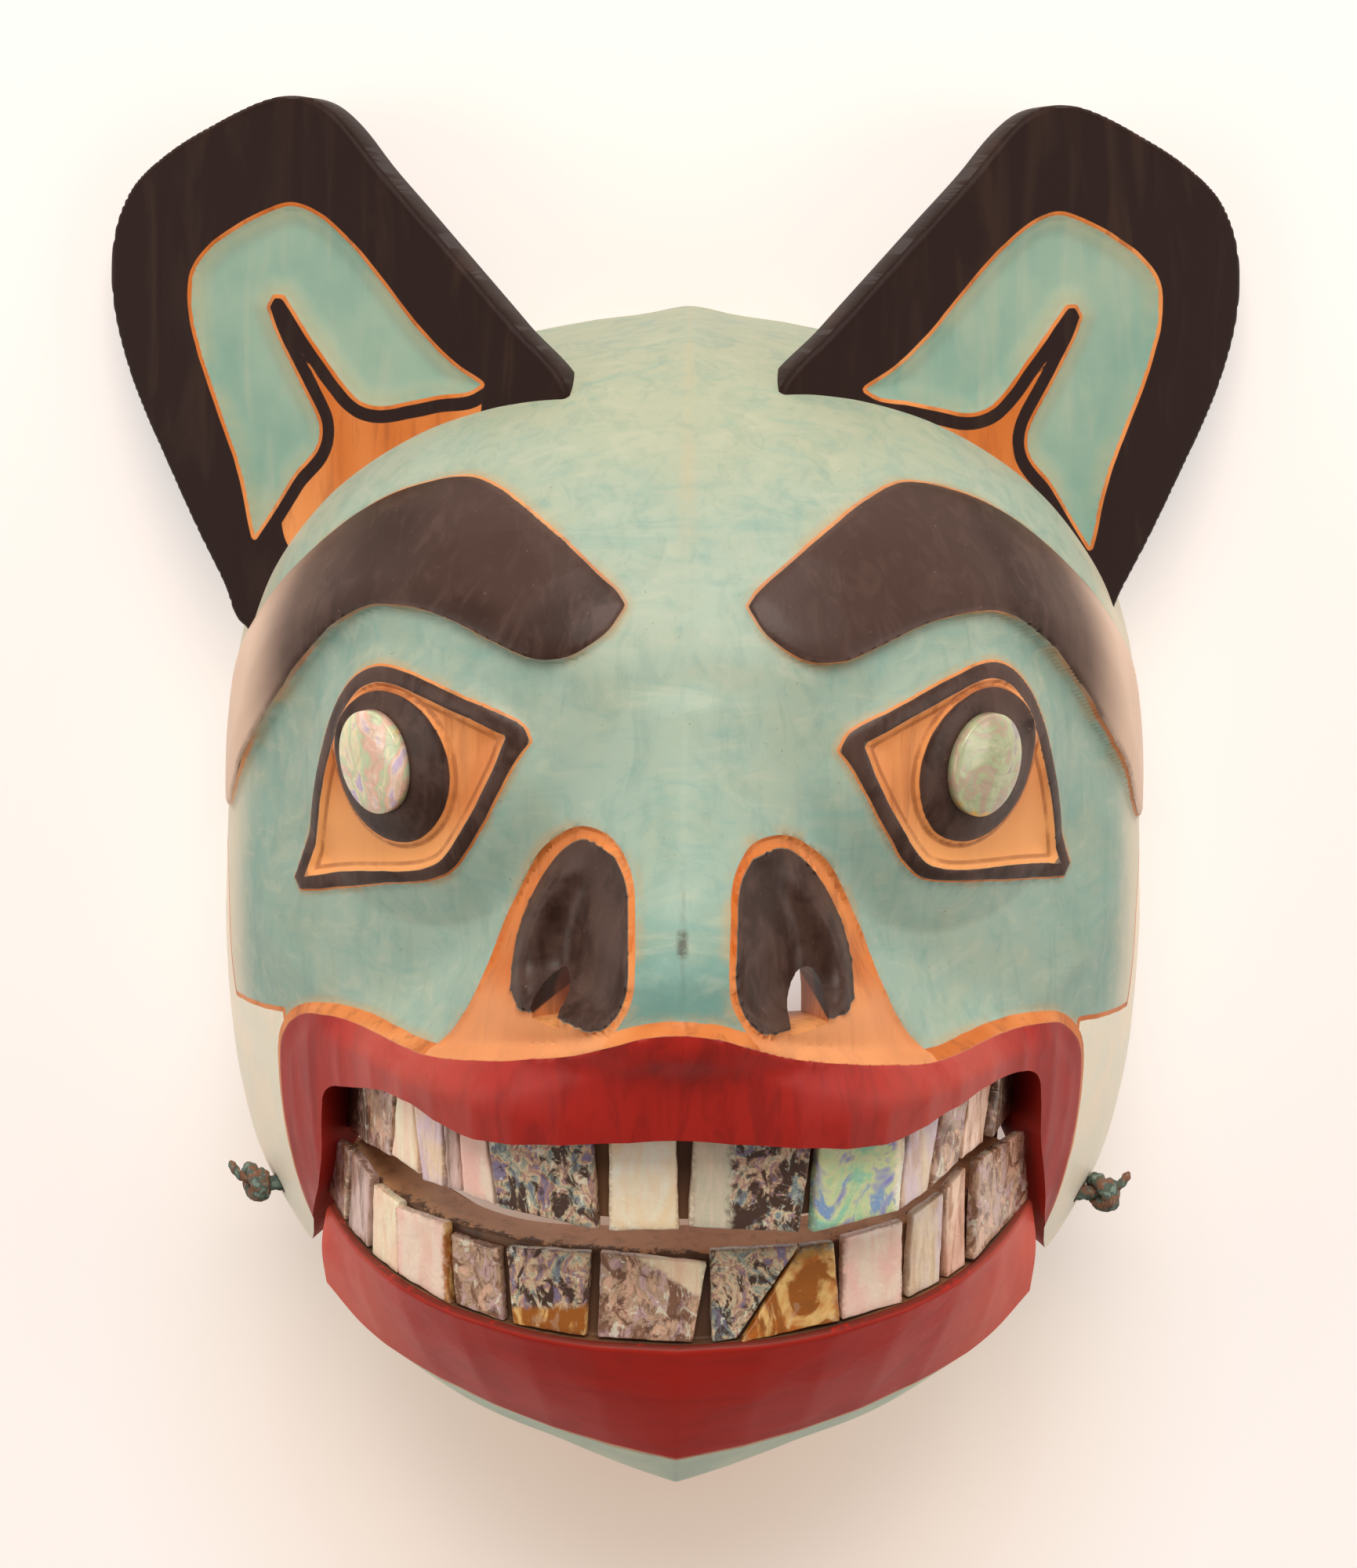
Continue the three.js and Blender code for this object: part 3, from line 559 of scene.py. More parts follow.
def head_place(theta, y):
    """The carved face, with grid points drawn onto the outlines so that carved edges are crisp."""
    side = np.where(theta < 0, -1.0, 1.0)
    spot = np.stack([np.abs(theta) * WRAP, y], 1)
    spot[:, 1] -= askew(spot, side)
    settled = np.zeros(len(spot), bool)
    reach_of_cell = np.interp(spot[:, 0], [45, 46, 138, 140], [0.5, 0.58, 0.58, 1.0])
    for line in ("nostril", "iris", "white", "eye", "brow", "lip", "flare"):
        distance, foot = nearest(spot, LINES[line], 3.0)
        pull = (np.abs(distance) < reach_of_cell) & ~settled & (y < CROWN)
        spot[pull] = foot[pull]
        settled |= pull
    edge = {line: nearest(spot, LINES[line], REACH)[0] for line in LINES}
    lift = carving(spot[:, 0], np.minimum(spot[:, 1], CROWN), edge)
    drawn_at = spot + askew(spot, side)[:, None] * (0, 1)
    spot[:, 1] += askew(drawn_at, side)
    w, face_y = spot[:, 0], np.minimum(spot[:, 1], CROWN)
    turned_by = side * np.maximum(w, 0) / WRAP
    beyond = np.clip(spot[:, 1] - CROWN, 0, 1)
    shrink = 1 - beyond
    places = zip(w * side * 0.09, face_y * 0.09)
    ripple = RIPPLE * np.array([noise.noise(Vector((*place, 0.0))) for place in places])
    radius = (skin(turned_by, face_y) + lift + ripple) * shrink
    from_ridge = skin(np.abs(turned_by), face_y) * shrink * np.sin(np.abs(turned_by))
    cusp = CUSP * np.exp(-((from_ridge / 8) ** 2)) * blend(face_y, 84, CROWN)
    height = face_y + CROWN_RISE * (1 - shrink**2) + cusp
    return polar(radius, turned_by, height)


OUTER, HOLLOW, MOUTH, BORE, GUM = range(5)
head_sheet = on_grid("carved_head", HEAD_COLUMNS, HEAD_ROWS, head_place)
head = marked(closed(head_sheet, to_axis=True), OUTER)

GUM_POWER, GUM_TOP, GUM_THICK, GUM_BACKING = 2.4, -46.0, 16, 11
NOSTRIL_BACK, NOSTRIL_BACK_AT, NOSTRIL_BACK_HALF = 21, (21, -30), (36, 24)
CROWN_WOOD, CROWN_WOOD_FROM, CROWN_WOOD_TO, GOUGE = 9, 40, 88, 0.5


def upper_gum(theta):
    return oval(theta, 79, 128, GUM_POWER)


def hollow_place(theta, y):
    """The hollow behind the face: thicker wood behind the gum and at the crown, with gouge marks."""
    up = np.interp(y, [CROWN_WOOD_FROM, CROWN_WOOD_TO], [0, 1])
    plain = skin(theta, y + CROWN_WOOD * up) - WALL * (1 - 0.5 * up)
    plain = plain - NOSTRIL_BACK * bowl(np.abs(theta) * WRAP, y, NOSTRIL_BACK_AT, NOSTRIL_BACK_HALF, 0.45)
    behind = along(y, [(-96, 0), (-88, 1), (-52, 1), (-34, 0)])
    beside = along(np.degrees(np.abs(theta)), [(54, 1), (60, 0.7), (66, 0)])
    radius = plain - behind * beside * np.maximum(plain - upper_gum(theta) + GUM_BACKING, 0)
    marks = [noise.cell(Vector((a * 9, b * 0.09, 0.5))) for a, b in zip(theta, y)]
    return polar(radius - GOUGE * np.array(marks), theta, y)


MOUTH_SKEW, MOUTH_FROM, MOUTH_IN, MOUTH_LOW = 2.9, 60, -70, -220.0


def lip_low(w):
    """The lower edge of the upper lip, which was cut a little higher at the right corner than at the left."""
    at = np.abs(w)
    return along(at, LIP_LOW) + MOUTH_SKEW * np.sign(w) * blend(at, 52, 80) * (1 - blend(at, 92, 100))


def mouth_place(w, depth):
    """The mouth opening, cut in from the lower edge of the lip; depth runs down, in and up again."""
    theta, top = w / WRAP, lip_low(w)
    inward = polar(1.0, 0.3 * theta, 0.0)
    reach = np.interp(depth, [0, 1, 2, 3], [MOUTH_FROM, MOUTH_IN, MOUTH_IN, MOUTH_FROM])
    points = on_skin(np.stack([w, top], 1), LIP_RISE + 0.7) + inward * reach[:, None]
    points[:, 1] = np.where((depth < 1.5) | (depth > 3.5), top, MOUTH_LOW)
    return points


def gum_place(theta, turn):
    """The block that the upper teeth are set on, walked round from its inner top edge."""
    front, back = upper_gum(theta), upper_gum(theta) - GUM_THICK
    top = np.full_like(theta, GUM_TOP)
    low = along(np.degrees(np.abs(theta)), [(0, -78.6), (45, -79.5), (52.5, -82), (56.5, -90), (62, -93.5)])
    corners = np.array([(back, top), (front, top), (front, low), (back, low), (back, top)])
    k = np.clip(np.floor(turn).astype(int), 0, 3)
    here, t = np.arange(len(theta)), (turn - k)[:, None]
    radius, y = (corners[k, :, here] * (1 - t) + corners[k + 1, :, here] * t).T
    return polar(radius, theta, y)


hollow_sheet = on_grid("hollow", np.radians(spaced((-94, 94, 2.2))), spaced((-140, 89, 3.2)), hollow_place)
hollow = marked(closed(hollow_sheet, to_axis=True), HOLLOW)
hollow.data.transform(Matrix.Translation((0, 0, -0.0001)))  # so that it cuts clean through the flat back
gum_sheet = on_grid("gum", np.radians(spaced((-62, 62, 1.5))), spaced((0, 4, 0.125)), gum_place)
gum = marked(closed(gum_sheet, to_axis=False), GUM)
mouth_rows = np.array([0, 0.25, 0.5, 0.75, 1, 2, 3, 4.0])
mouth_sheet = on_grid("mouth", both_ways(spaced((0, 124, 1.0))), mouth_rows, mouth_place)
mouth = marked(closed(mouth_sheet, to_axis=False), MOUTH)

NOSTRIL_HOLES = {-1: [(-28, -33.6), (-28.3, -29), (-26.9, -25.9), (-24.2, -24.5), (-22, -26), (-20.4, -29.5),
                      (-19.5, -33.6)],
                 1: [(19.4, -33.6), (20.2, -30), (22.3, -26.6), (25.2, -24.5), (28, -24.6), (29.4, -27.2),
                     (29.2, -33.6)]}
NOSTRIL_LEAN = {-1: -20.0, 1: 9.0}  # the holes were bored from inside, each at its own slant
NOSTRIL_REACH, NOSTRIL_FALL = (150.0, 127.0, 60.0), 0.26
NOSTRIL_PIVOT, NOSTRIL_ARCH, NOSTRIL_FOOT = 118, -24.5, 6  # where the slant turns, and the arch above its foot


def tube(shape, rings):
    """Skins rings of points into a closed tube."""
    loops = [[shape.verts.new(point) for point in ring] for ring in rings]
    for near, far in zip(loops, loops[1:]):
        for i in range(len(near)):
            shape.faces.new((near[i - 1], near[i], far[i], far[i - 1]))
    shape.faces.new(loops[0])
    shape.faces.new(loops[-1][::-1])
    bmesh.ops.recalc_face_normals(shape, faces=shape.faces)


def nostril_bore(side):
    """The arched hole through the lower end of a nostril, with a flat floor that falls to the back."""
    slant = math.tan(math.radians(NOSTRIL_LEAN[side]))
    rings = []
    for z in NOSTRIL_REACH:
        fall = NOSTRIL_FALL * max(NOSTRIL_REACH[1] - z, 0)
        outline = drawn(NOSTRIL_HOLES[side], corner=60)
        outline[:, 1] -= fall * np.clip((NOSTRIL_ARCH - outline[:, 1]) / NOSTRIL_FOOT, 0, 1)
        rings.append([(x + (z - NOSTRIL_PIVOT) * slant, y, z) for x, y in outline])
    shape = bmesh.new()
    tube(shape, rings)
    return marked(meshed("nostril_bore", shape, in_mm=True), BORE)


HINGE_Y, HINGE_Z, HINGE_HOLE = -107.0, 40.0, 4.8


def hinge_bore():
    """The straight hole that the hinge cords pass through."""
    shape = bmesh.new()
    place = Matrix.Translation((0, HINGE_Y, HINGE_Z)) @ Matrix.Rotation(math.radians(90), 4, "Y")
    bmesh.ops.create_cone(shape, cap_ends=True, segments=24, radius1=HINGE_HOLE / 2, radius2=HINGE_HOLE / 2,
                          depth=260, matrix=place)
    return marked(meshed("hinge_bore", shape, in_mm=True), BORE)


DISC_AT, DISC_HALF, DISC_LEAN = {-1: (66.2, 13.0), 1: (63.4, 14.6)}, (10.2, 11.5), 14.0
DISC_LIFT, DISC_DEPTH, POCKET_DEPTH, POCKET_PLAY = 3.2, 2.3, 2.4, 0.15


def disc_frame(side):
    """A frame on the iris: its directions across, up and out, and its place in millimetres."""
    def spot(dw, dy):
        at = np.array([[side * (DISC_AT[side][0] + dw), DISC_AT[side][1] + dy]])
        return Vector(on_skin(at, DISC_LIFT)[0])
    across = (spot(4, 0) - spot(-4, 0)).normalized() * side
    out = across.cross(spot(0, 4) - spot(0, -4)).normalized()
    return Matrix((across, out.cross(across), out)).transposed().to_4x4(), spot(0, 0) + FACE_AXIS


def disc_plug(side, grow, low, high):
    """An oval plate standing on the iris, from low to high along its own axis."""
    turned, spot = disc_frame(side)
    lean = Matrix.Rotation(math.radians(-side * DISC_LEAN), 4, "Z")
    sized = Matrix.Diagonal((DISC_HALF[0] + grow, DISC_HALF[1] + grow, high - low, 1))
    place = Matrix.Scale(MM, 4) @ Matrix.Translation(spot) @ turned @ lean
    place = place @ Matrix.Translation((0, 0, low)) @ sized @ Matrix.Translation((0, 0, 0.5))
    shape = bmesh.new()
    bmesh.ops.create_cone(shape, cap_ends=True, segments=72, radius1=1, radius2=1, depth=1, matrix=place)
    return shape


def disc_pocket(side):
    return marked(meshed("disc_pocket", disc_plug(side, POCKET_PLAY, -POCKET_DEPTH, 12)), BORE)


head_form = head.data.copy()
joined(head, [mouth], "DIFFERENCE")
joined(head, [gum], "UNION")
joined(head, [hollow], "DIFFERENCE")
joined(head, [nostril_bore(-1), nostril_bore(1), hinge_bore(), disc_pocket(-1), disc_pocket(1)], "DIFFERENCE")


def in_face(mesh):
    """The vertices of a mesh in the frame of the face, in millimetres."""
    return read(mesh.vertices, "co", 3) / MM - np.array(FACE_AXIS)


head_points = in_face(head.data)
head_spot = np.stack([np.abs(np.arctan2(head_points[:, 0], head_points[:, 2])) * WRAP, head_points[:, 1]], 1)
pattern = head_spot - askew(head_spot, np.sign(head_points[:, 0]))[:, None] * (0, 1)
keep(head.data, **{name: nearest(pattern, line, REACH)[0] for name, line in LINES.items()})
outer_radius = skin(head_spot[:, 0] / WRAP, np.minimum(head_points[:, 1], CROWN)) + 3.0
keep(head.data, w=head_spot[:, 0], y=head_spot[:, 1],
     depth=outer_radius - np.hypot(head_points[:, 0], head_points[:, 2]))


def painted(piece, finishes, slots):
    """Gives each face the finish of the part that it was cut by."""
    mesh = piece.data
    mesh.materials.clear()
    for finish in finishes:
        mesh.materials.append(finish)
    part = np.empty(len(mesh.polygons), np.int32)
    mesh.attributes["part"].data.foreach_get("value", part)
    mesh.polygons.foreach_set("material_index", np.array(slots, np.int32)[part])
    mesh.set_sharp_from_angle(angle=math.radians(40))
    mesh.polygons.foreach_set("use_smooth", np.ones(len(mesh.polygons), bool))


GREEN_PALE, GREEN, TEAL = (0.39, 0.48, 0.38, 1), (0.35, 0.47, 0.38, 1), (0.12, 0.27, 0.235, 1)
GREEN_WARM = (0.44, 0.46, 0.31, 1)
BLACK, BLACK_WORN = (0.040, 0.018, 0.012, 1), (0.13, 0.072, 0.054, 1)
RED, RED_DEEP, RED_WORN_AND_SHEEN = (0.43, 0.020, 0.013, 1), (0.24, 0.014, 0.010, 1), (0.53, 0.088, 0.062, 1)
WOOD, WOOD_PALE, WOOD_DARK = (0.60, 0.15, 0.022, 1), (0.90, 0.37, 0.125, 1), (0.28, 0.07, 0.018, 1)


def wood_grain(finish, pale=WOOD_PALE, base=WOOD, dark=WOOD_DARK):
    """Bare alder: fine lines along the face with broad paler and darker bands."""
    lines = finish.cloud(260, detail=4, rough=0.6, stretch=(1, 0.09, 1), twist=0.3, turn=(0, 0, 0.5))
    bands = finish.cloud(38, detail=2, stretch=(1, 0.3, 1), turn=(0, 0, 0.9))
    colour = finish.coats(base, (bands.over(0.52, 0.18) * 0.75, pale), (lines.under(0.42, 0.12) * 0.45, dark))
    return colour, lines


def facets(finish, size, **where):
    """Shallow knife cuts: hollows that meet in low ridges."""
    inputs = {"Vector": finish.place(**where), "Scale": 1000 / size, "Randomness": 0.9}
    hollow = finish.node("ShaderNodeTexVoronoi", inputs, out="Distance", feature="F1")
    return hollow * hollow


def face_paint():
    """Milk paint on carved wood: green ground, black brows and rims, red lip and bare wood between."""
    finish = Finish("face_paint")
    waver = (finish.cloud(90, detail=2) - 0.5) * 0.7
    w, y = finish.kept("w"), finish.kept("y")
    far = {name: finish.kept(name) for name in LINES}
    line = {name: value + waver for name, value in far.items()}
    patches = finish.cloud(13, rough=0.5, twist=0.6)
    mottle = finish.cloud(60, detail=5, rough=0.62, twist=0.4)
    strokes = finish.cloud(170, detail=4, rough=0.6, stretch=(1, 0.2, 1), twist=1.2)
    brushed = finish.cloud(120, detail=5, rough=0.62, stretch=(0.35, 1, 1), twist=1.6, turn=(0, 0, 0.6))
    fine = finish.cloud(900, detail=2)
    # green: paler and warmer toward the top, deeper teal under the brows, on the cheeks and at the nose, partly
    # in the paint and partly as painted light from above and painted shade in the hollows and under the nose
    up = y + (patches - 0.5) * 46
    under_brow = far["brow"].under(9, 8) * far["eye"].under(15, 10)
    cheek = w.over(100, 28) * up.under(20, 30)
    nose = w.under(15, 5) * y.under(-9, 9)
    beside_nose = w.under(52, 12) * w.over(20, 8) * y.under(18, 14) * 0.25
    deep_teal_and_shade = under_brow.either(cheek * 0.7, nose, beside_nose)
    # a paler line along the crest of the crown: partly worn paint, partly a painted highlight
    ridge = w.under(2.0, 1.6) * y.over(62, 14) * mottle.over(0.44, 0.16)
    crease = w.under(0.4, 0.4) * y.under(2, 5) * strokes.under(0.55, 0.15)
    knot = w.under(0.75, 0.5) * y.under(-10.2, 0.8) * y.over(-14.4, 0.8) * finish.cloud(700).over(0.38, 0.12)
    stain = far["brow"].under(1.6, 1.4).either(far["eye"].under(1.6, 1.0), far["flare"].under(1.8, 1.4),
                                               far["lip"].under(3.6, 1.2)) * mottle.over(0.5, 0.10)
    pits = fine.over(0.73, 0.02) * mottle.over(0.5, 0.1)
    rear = w.over(124, 10) * y.under(56, 16)
    green = finish.coats(
        GREEN,
        # paler and warmer toward the top: partly worn paint, partly painted light from above
        (up.over(22, 22), GREEN_PALE),
        (up.over(78, 16) * 0.7, GREEN_WARM),
        # teal: deeper paint in places, and painted shade under the brows, in the hollows of the cheeks and on
        # the underside of the nose
        (deep_teal_and_shade * mottle.over(0.38, 0.22) * 0.62, TEAL),
        (w.under(13, 4) * y.under(-14, 8) * mottle.over(0.30, 0.2) * 0.6, TEAL),
        (mottle.over(0.56, 0.10) * 0.28, GREEN_WARM),
        (strokes.under(0.43, 0.12) * 0.22, TEAL),
        (brushed.under(0.41, 0.09) * 0.30, (0.17, 0.36, 0.32, 1)),
        (brushed.over(0.60, 0.08) * 0.26, (0.56, 0.56, 0.42, 1)),
        (ridge * 0.45, (0.50, 0.44, 0.29, 1)),
        (crease * 0.28, (0.10, 0.13, 0.10, 1)),
        (knot * 0.8, (0.07, 0.07, 0.05, 1)),
        (stain * 0.5, (0.52, 0.33, 0.15, 1)),
        (pits * 0.5, (0.16, 0.14, 0.10, 1)),
        (rear * 0.7, (0.86, 0.72, 0.54, 1)),
    )
    # bare wood, brighter at the lower end of the eyes and round the nostrils
    bare_wood, grain = wood_grain(finish)
    chisel = finish.cloud(150, detail=4, rough=0.6, stretch=(1, 0.2, 1), turn=(0, 0, 1.1), twist=0.6)
    in_eye = far["white"].under(0.0)
    groove = far["white"].over(-2.1, 0.2) * far["white"].under(-1.2, 0.3)
    groove = groove.either(far["iris"].over(0.7, 0.2) * far["iris"].under(1.7, 0.3) * far["white"].under(-0.2))
    wood = finish.coats(
        bare_wood,
        (in_eye * y.under(2, 8) * 0.85, (0.98, 0.43, 0.14, 1)),
        (in_eye * chisel.over(0.55, 0.12) * 0.2, (0.95, 0.44, 0.16, 1)),
        (far["flare"].under(0.0) * y.under(-31, 5) * 0.65, (0.82, 0.36, 0.15, 1)),
        (groove * mottle.over(0.42, 0.12) * 0.6, WOOD_DARK),
    )
    # black, worn brown on its high places, with a pale painted highlight where the brows run out at the sides
    in_brow = far["brow"].under(0.0)
    edge_wear = far["brow"].over(-0.9, 0.5).either(far["eye"].over(-0.7, 0.4) * far["eye"].under(0.2))
    black = finish.coats(
        BLACK,
        (strokes.over(0.58, 0.12) * 0.35, BLACK_WORN),
        (in_brow * patches.over(0.49, 0.05) * 0.45, (0.10, 0.056, 0.045, 1)),
        (in_brow * w.over(94, 16) * mottle.over(0.35, 0.2) * 0.6, (0.22, 0.135, 0.10, 1)),
        # painted highlight: the pale outer ends of the brows stand for the sheen of the side lights
        (in_brow * w.over(110, 11) * 0.9, (0.82, 0.58, 0.43, 1)),
        (fine.over(0.74, 0.02) * 0.35, (0.3, 0.2, 0.13, 1)),
        (edge_wear * mottle.over(0.5, 0.08) * 0.4, BLACK_WORN),
    )
    # red, lighter on the bulge of the lip, partly worn and partly a painted sheen, and darker at its ends
    red = finish.coats(
        RED,
        (strokes.under(0.47, 0.12) * 0.55, RED_DEEP),
        # painted sheen, partly real wear: the lip's sides lighter where the side lights catch them
        (w.over(38, 16) * w.under(76, 10) * mottle.over(0.40, 0.2) * 0.7, RED_WORN_AND_SHEEN),
        (w.over(86, 6) * 0.35, RED_DEEP),
    )
    bare = line["eye"].between(0.0, 0.5).either(
        line["lip"].between(0.0, 2.3), line["nostril"].between(0.0, 0.8), line["side"].between(-0.7, 0.5),
        line["white"].under(0.0), line["flare"].under(0.0) * line["nostril"].over(0.0),
        line["brow"].under(0.55, 0.25) * line["brow"].over(0.0) * patches.over(0.42, 0.1) * 0.85)
    dark = line["brow"].under(0.0).either(line["nostril"].under(0.0, 0.25), line["iris"].under(0.0),
                                          line["eye"].under(0.0) * line["white"].over(0.0))
    pale_side = finish.coats((0.82, 0.77, 0.62, 1), (mottle.over(0.5, 0.12) * 0.5, (0.98, 0.79, 0.60, 1)))
    lip = line["lip"].under(0.0)
    colour = finish.coats(green, (line["side"].under(0.0), pale_side), (bare, wood), (dark, black), (lip, red))
    rough = (mottle * 0.16) + 0.36 - (lip * 0.03) - (dark * 0.04)
    cuts = facets(finish, 13, stretch=(1, 0.8, 1))
    height = (strokes * 0.00016) + (fine * 0.00003) + (grain * 0.00008) + (cuts * 0.0006)
    return finish.finished(colour, rough, height, specular=0.24)


def raw_wood():
    """The gouged hollow: bare wood, darker and dustier than the face."""
    finish = Finish("raw_wood")
    colour, grain = wood_grain(finish, (0.5, 0.27, 0.13, 1), (0.38, 0.17, 0.075, 1), (0.2, 0.085, 0.04, 1))
    return finish.finished(colour, 0.75, grain * 0.0003)


def mouth_wall():
    """Red paint that gives way to dark wood inside the mouth."""
    finish = Finish("mouth_wall")
    depth = finish.kept("depth") + (finish.cloud(120) - 0.5) * 5
    wood, grain = wood_grain(finish, (0.40, 0.14, 0.07, 1), (0.25, 0.08, 0.045, 1), (0.10, 0.04, 0.025, 1))
    colour = finish.coats(RED, (depth.over(12, 6), (0.40, 0.024, 0.017, 1)), (depth.over(34, 6), wood))
    return finish.finished(colour, 0.6, grain * 0.0002, specular=0.15)


def dark_gum():
    """The gum ledge: wood darkened by the glue that holds the shell."""
    finish = Finish("dark_gum")
    colour, grain = wood_grain(finish, (0.30, 0.14, 0.06, 1), (0.12, 0.055, 0.03, 1), (0.035, 0.02, 0.014, 1))
    return finish.finished(colour, 0.6, grain * 0.0004, strength=0.6)


def bore_wall():
    """Black paint run into the nostril holes over brown wood, and bare wood along their floor."""
    finish = Finish("bore_wall")
    depth = finish.kept("depth") + (finish.cloud(150) - 0.5) * 3
    y = finish.kept("y")
    wood, grain = wood_grain(finish, (0.42, 0.19, 0.08, 1), (0.26, 0.10, 0.04, 1), (0.10, 0.04, 0.02, 1))
    floor_wood = finish.coats(WOOD_PALE, (grain.under(0.45, 0.12) * 0.5, (0.42, 0.16, 0.05, 1)))
    colour = finish.coats(BLACK, (depth.over(18, 2), wood), (y.under(-32.6, 0.4) * y.over(-60), floor_wood))
    return finish.finished(colour, 0.5, grain * 0.0002, strength=0.4, specular=0.3)


wood_inside, mouth_red, gum_dark, bore_black = raw_wood(), mouth_wall(), dark_gum(), bore_wall()
painted(head, (face_paint(), wood_inside, mouth_red, bore_black, gum_dark), range(5))
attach(head, "mask")
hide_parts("head")

# Jaw: a second block of the same wood, carved as one piece with its gum, lower lip and chin, and hollowed
# behind. Its two arms lie inside the cheeks, where the knotted cords pass through them.
LIP_TOP = [(0, -113.8), (12, -112.8), (22, -110.8), (30, -109.3), (38, -107.2), (47, -104.6), (55, -102.4),
           (60, -102.4)]
LIP_TILT = 0.022
LIP_FOOT_RADIUS = [(0, 99.5), (18, 97.5), (31, 97), (41, 98.5), (48, 101), (54.6, 103), (58, 103.5)]
LIP_FOOT = [(0, -149.5), (18, -144.5), (31, -140.5), (41, -136.5), (48, -131.5), (54.6, -124.5), (58, -122)]
CHIN_CUTS = np.array([0, 9, 17, 26, 35, 44, 54.6, 66, 78, 90.0])  # knife ridges down the lip, in degrees
KEEL_RADIUS = [(0, 80), (17.5, 79), (34, 84), (45, 87), (58, 88), (75, 82), (90, 80)]
KEEL = [(0, -166.5), (17.5, -159), (34, -151.8), (45, -144.5), (58, -134), (75, -130), (90, -129)]
CHIN_FLOOR = [(0, -166), (17.5, -161.5), (34, -156), (58, -149), (90, -147)]
JAW_LIP_END, JAW_GUM_END = 54.6, 53.4
JAW_ROUNDING = [1.0, 1.5, 0.6, 0.5, 0.9, 12.0, 0.5, 7.0, 8.0, 2.0, 2.0, 6.0, 6.0, 4.0]
ARM_HEIGHTS = (-97.5, -102.0, -106.0, -112.0, -117.0, -122.0)
ARM_PLAY, ARM_THICK, LEDGE_WIDE, LIP_DEEP, CHIN_WALL = 1.5, 9, 12, 3.6, 9.5
CORNER = 0.12  # share of each side of the section that a rounded corner takes
LEDGE, LIP_FRONT, CHIN, INSIDE = 5, 6, 7, 8


def lower_gum(theta):
    return oval(theta, 87, 112.5, GUM_POWER)


def jaw_corners(degrees):
    """The corners of the jaw's section at each angle, as [radius, y], from the gum round to the hollow."""
    theta, turn = np.radians(degrees), np.abs(degrees)
    gum = lower_gum(theta)
    lip = along(turn, LIP_TOP) + LIP_TILT * WRAP * np.sin(theta)
    drawn_in = 6 * np.clip((68 - turn) / 10, 0, 1)
    gum_top = np.where(turn > JAW_GUM_END, lip, -88 + (lip + 108) * 0.4)
    foot_radius, foot = along(turn, LIP_FOOT_RADIUS), along(turn, LIP_FOOT)
    keel_radius, keel, chin_floor = along(turn, KEEL_RADIUS), along(turn, KEEL), along(turn, CHIN_FLOOR)

    def beside(y):
        return skin(theta, np.full_like(theta, y)) - WALL - ARM_PLAY - drawn_in
    t = np.interp(turn, CHIN_CUTS, np.arange(len(CHIN_CUTS))) % 1
    cut = 0.4 * 4 * t * (1 - t)
    foot_radius = foot_radius - cut * 0.6
    front = [(gum, gum_top - 3), (gum, lip), (gum + LIP_DEEP, lip),
             (gum + LIP_DEEP + 1.3 - cut * 0.4, lip - 1.1),
             ((gum + 5.5 + foot_radius) / 2 + 1.5 - cut, (lip + foot) / 2), (foot_radius, foot)]
    arm = [(beside(y), np.full_like(theta, y)) for y in ARM_HEIGHTS]
    is_arm = turn > JAW_LIP_END
    outer = [(np.where(is_arm, a[0], f[0]), np.where(is_arm, a[1], f[1])) for a, f in zip(arm, front)]
    inner = np.where(is_arm, beside(ARM_HEIGHTS[2]) - ARM_THICK, gum - LEDGE_WIDE)
    none = np.zeros_like(theta)
    dip = 0.7 + 2.8 * np.exp(-(((degrees + 23) / 13) ** 2))
    path = [(inner, np.where(is_arm, ARM_HEIGHTS[0], gum_top - dip)), *outer, (keel_radius, keel),
            (keel_radius * 0.5, chin_floor), (none, none - 160), (none, none - 160 + CHIN_WALL),
            (keel_radius * 0.5 - 2, chin_floor + CHIN_WALL), (keel_radius - 12, keel + 11),
            (inner - 1, none - 118)]
    return np.array(path).transpose(0, 2, 1)


def jaw_place(degrees, turn):
    """Walks round the section with each corner rounded by the knife."""
    corners = jaw_corners(degrees)
    count = len(corners)
    i = np.round(turn).astype(int) % count
    off = turn - np.round(turn)
    here = np.arange(len(turn))

    def pulled(index, other):
        a, b = corners[index, here], corners[other, here]
        length = np.linalg.norm(b - a, axis=1) + 1e-6
        return a + (b - a) * np.minimum(np.array(JAW_ROUNDING)[index] / length, 0.48)[:, None]
    t = np.clip((off + CORNER) / (2 * CORNER), 0, 1)[:, None]
    middle = corners[i, here] * 2 * t * (1 - t)
    rounded = pulled(i, (i - 1) % count) * (1 - t)**2 + middle + pulled(i, (i + 1) % count) * t**2
    k = np.floor(turn).astype(int) % count
    t = ((turn - np.floor(turn) - CORNER) / (1 - 2 * CORNER))[:, None]
    straight = pulled(k, (k + 1) % count) * (1 - t) + pulled((k + 1) % count, k) * t
    radius, y = np.where((np.abs(off) <= CORNER)[:, None], rounded, straight).T
    return polar(radius, np.radians(degrees), y)


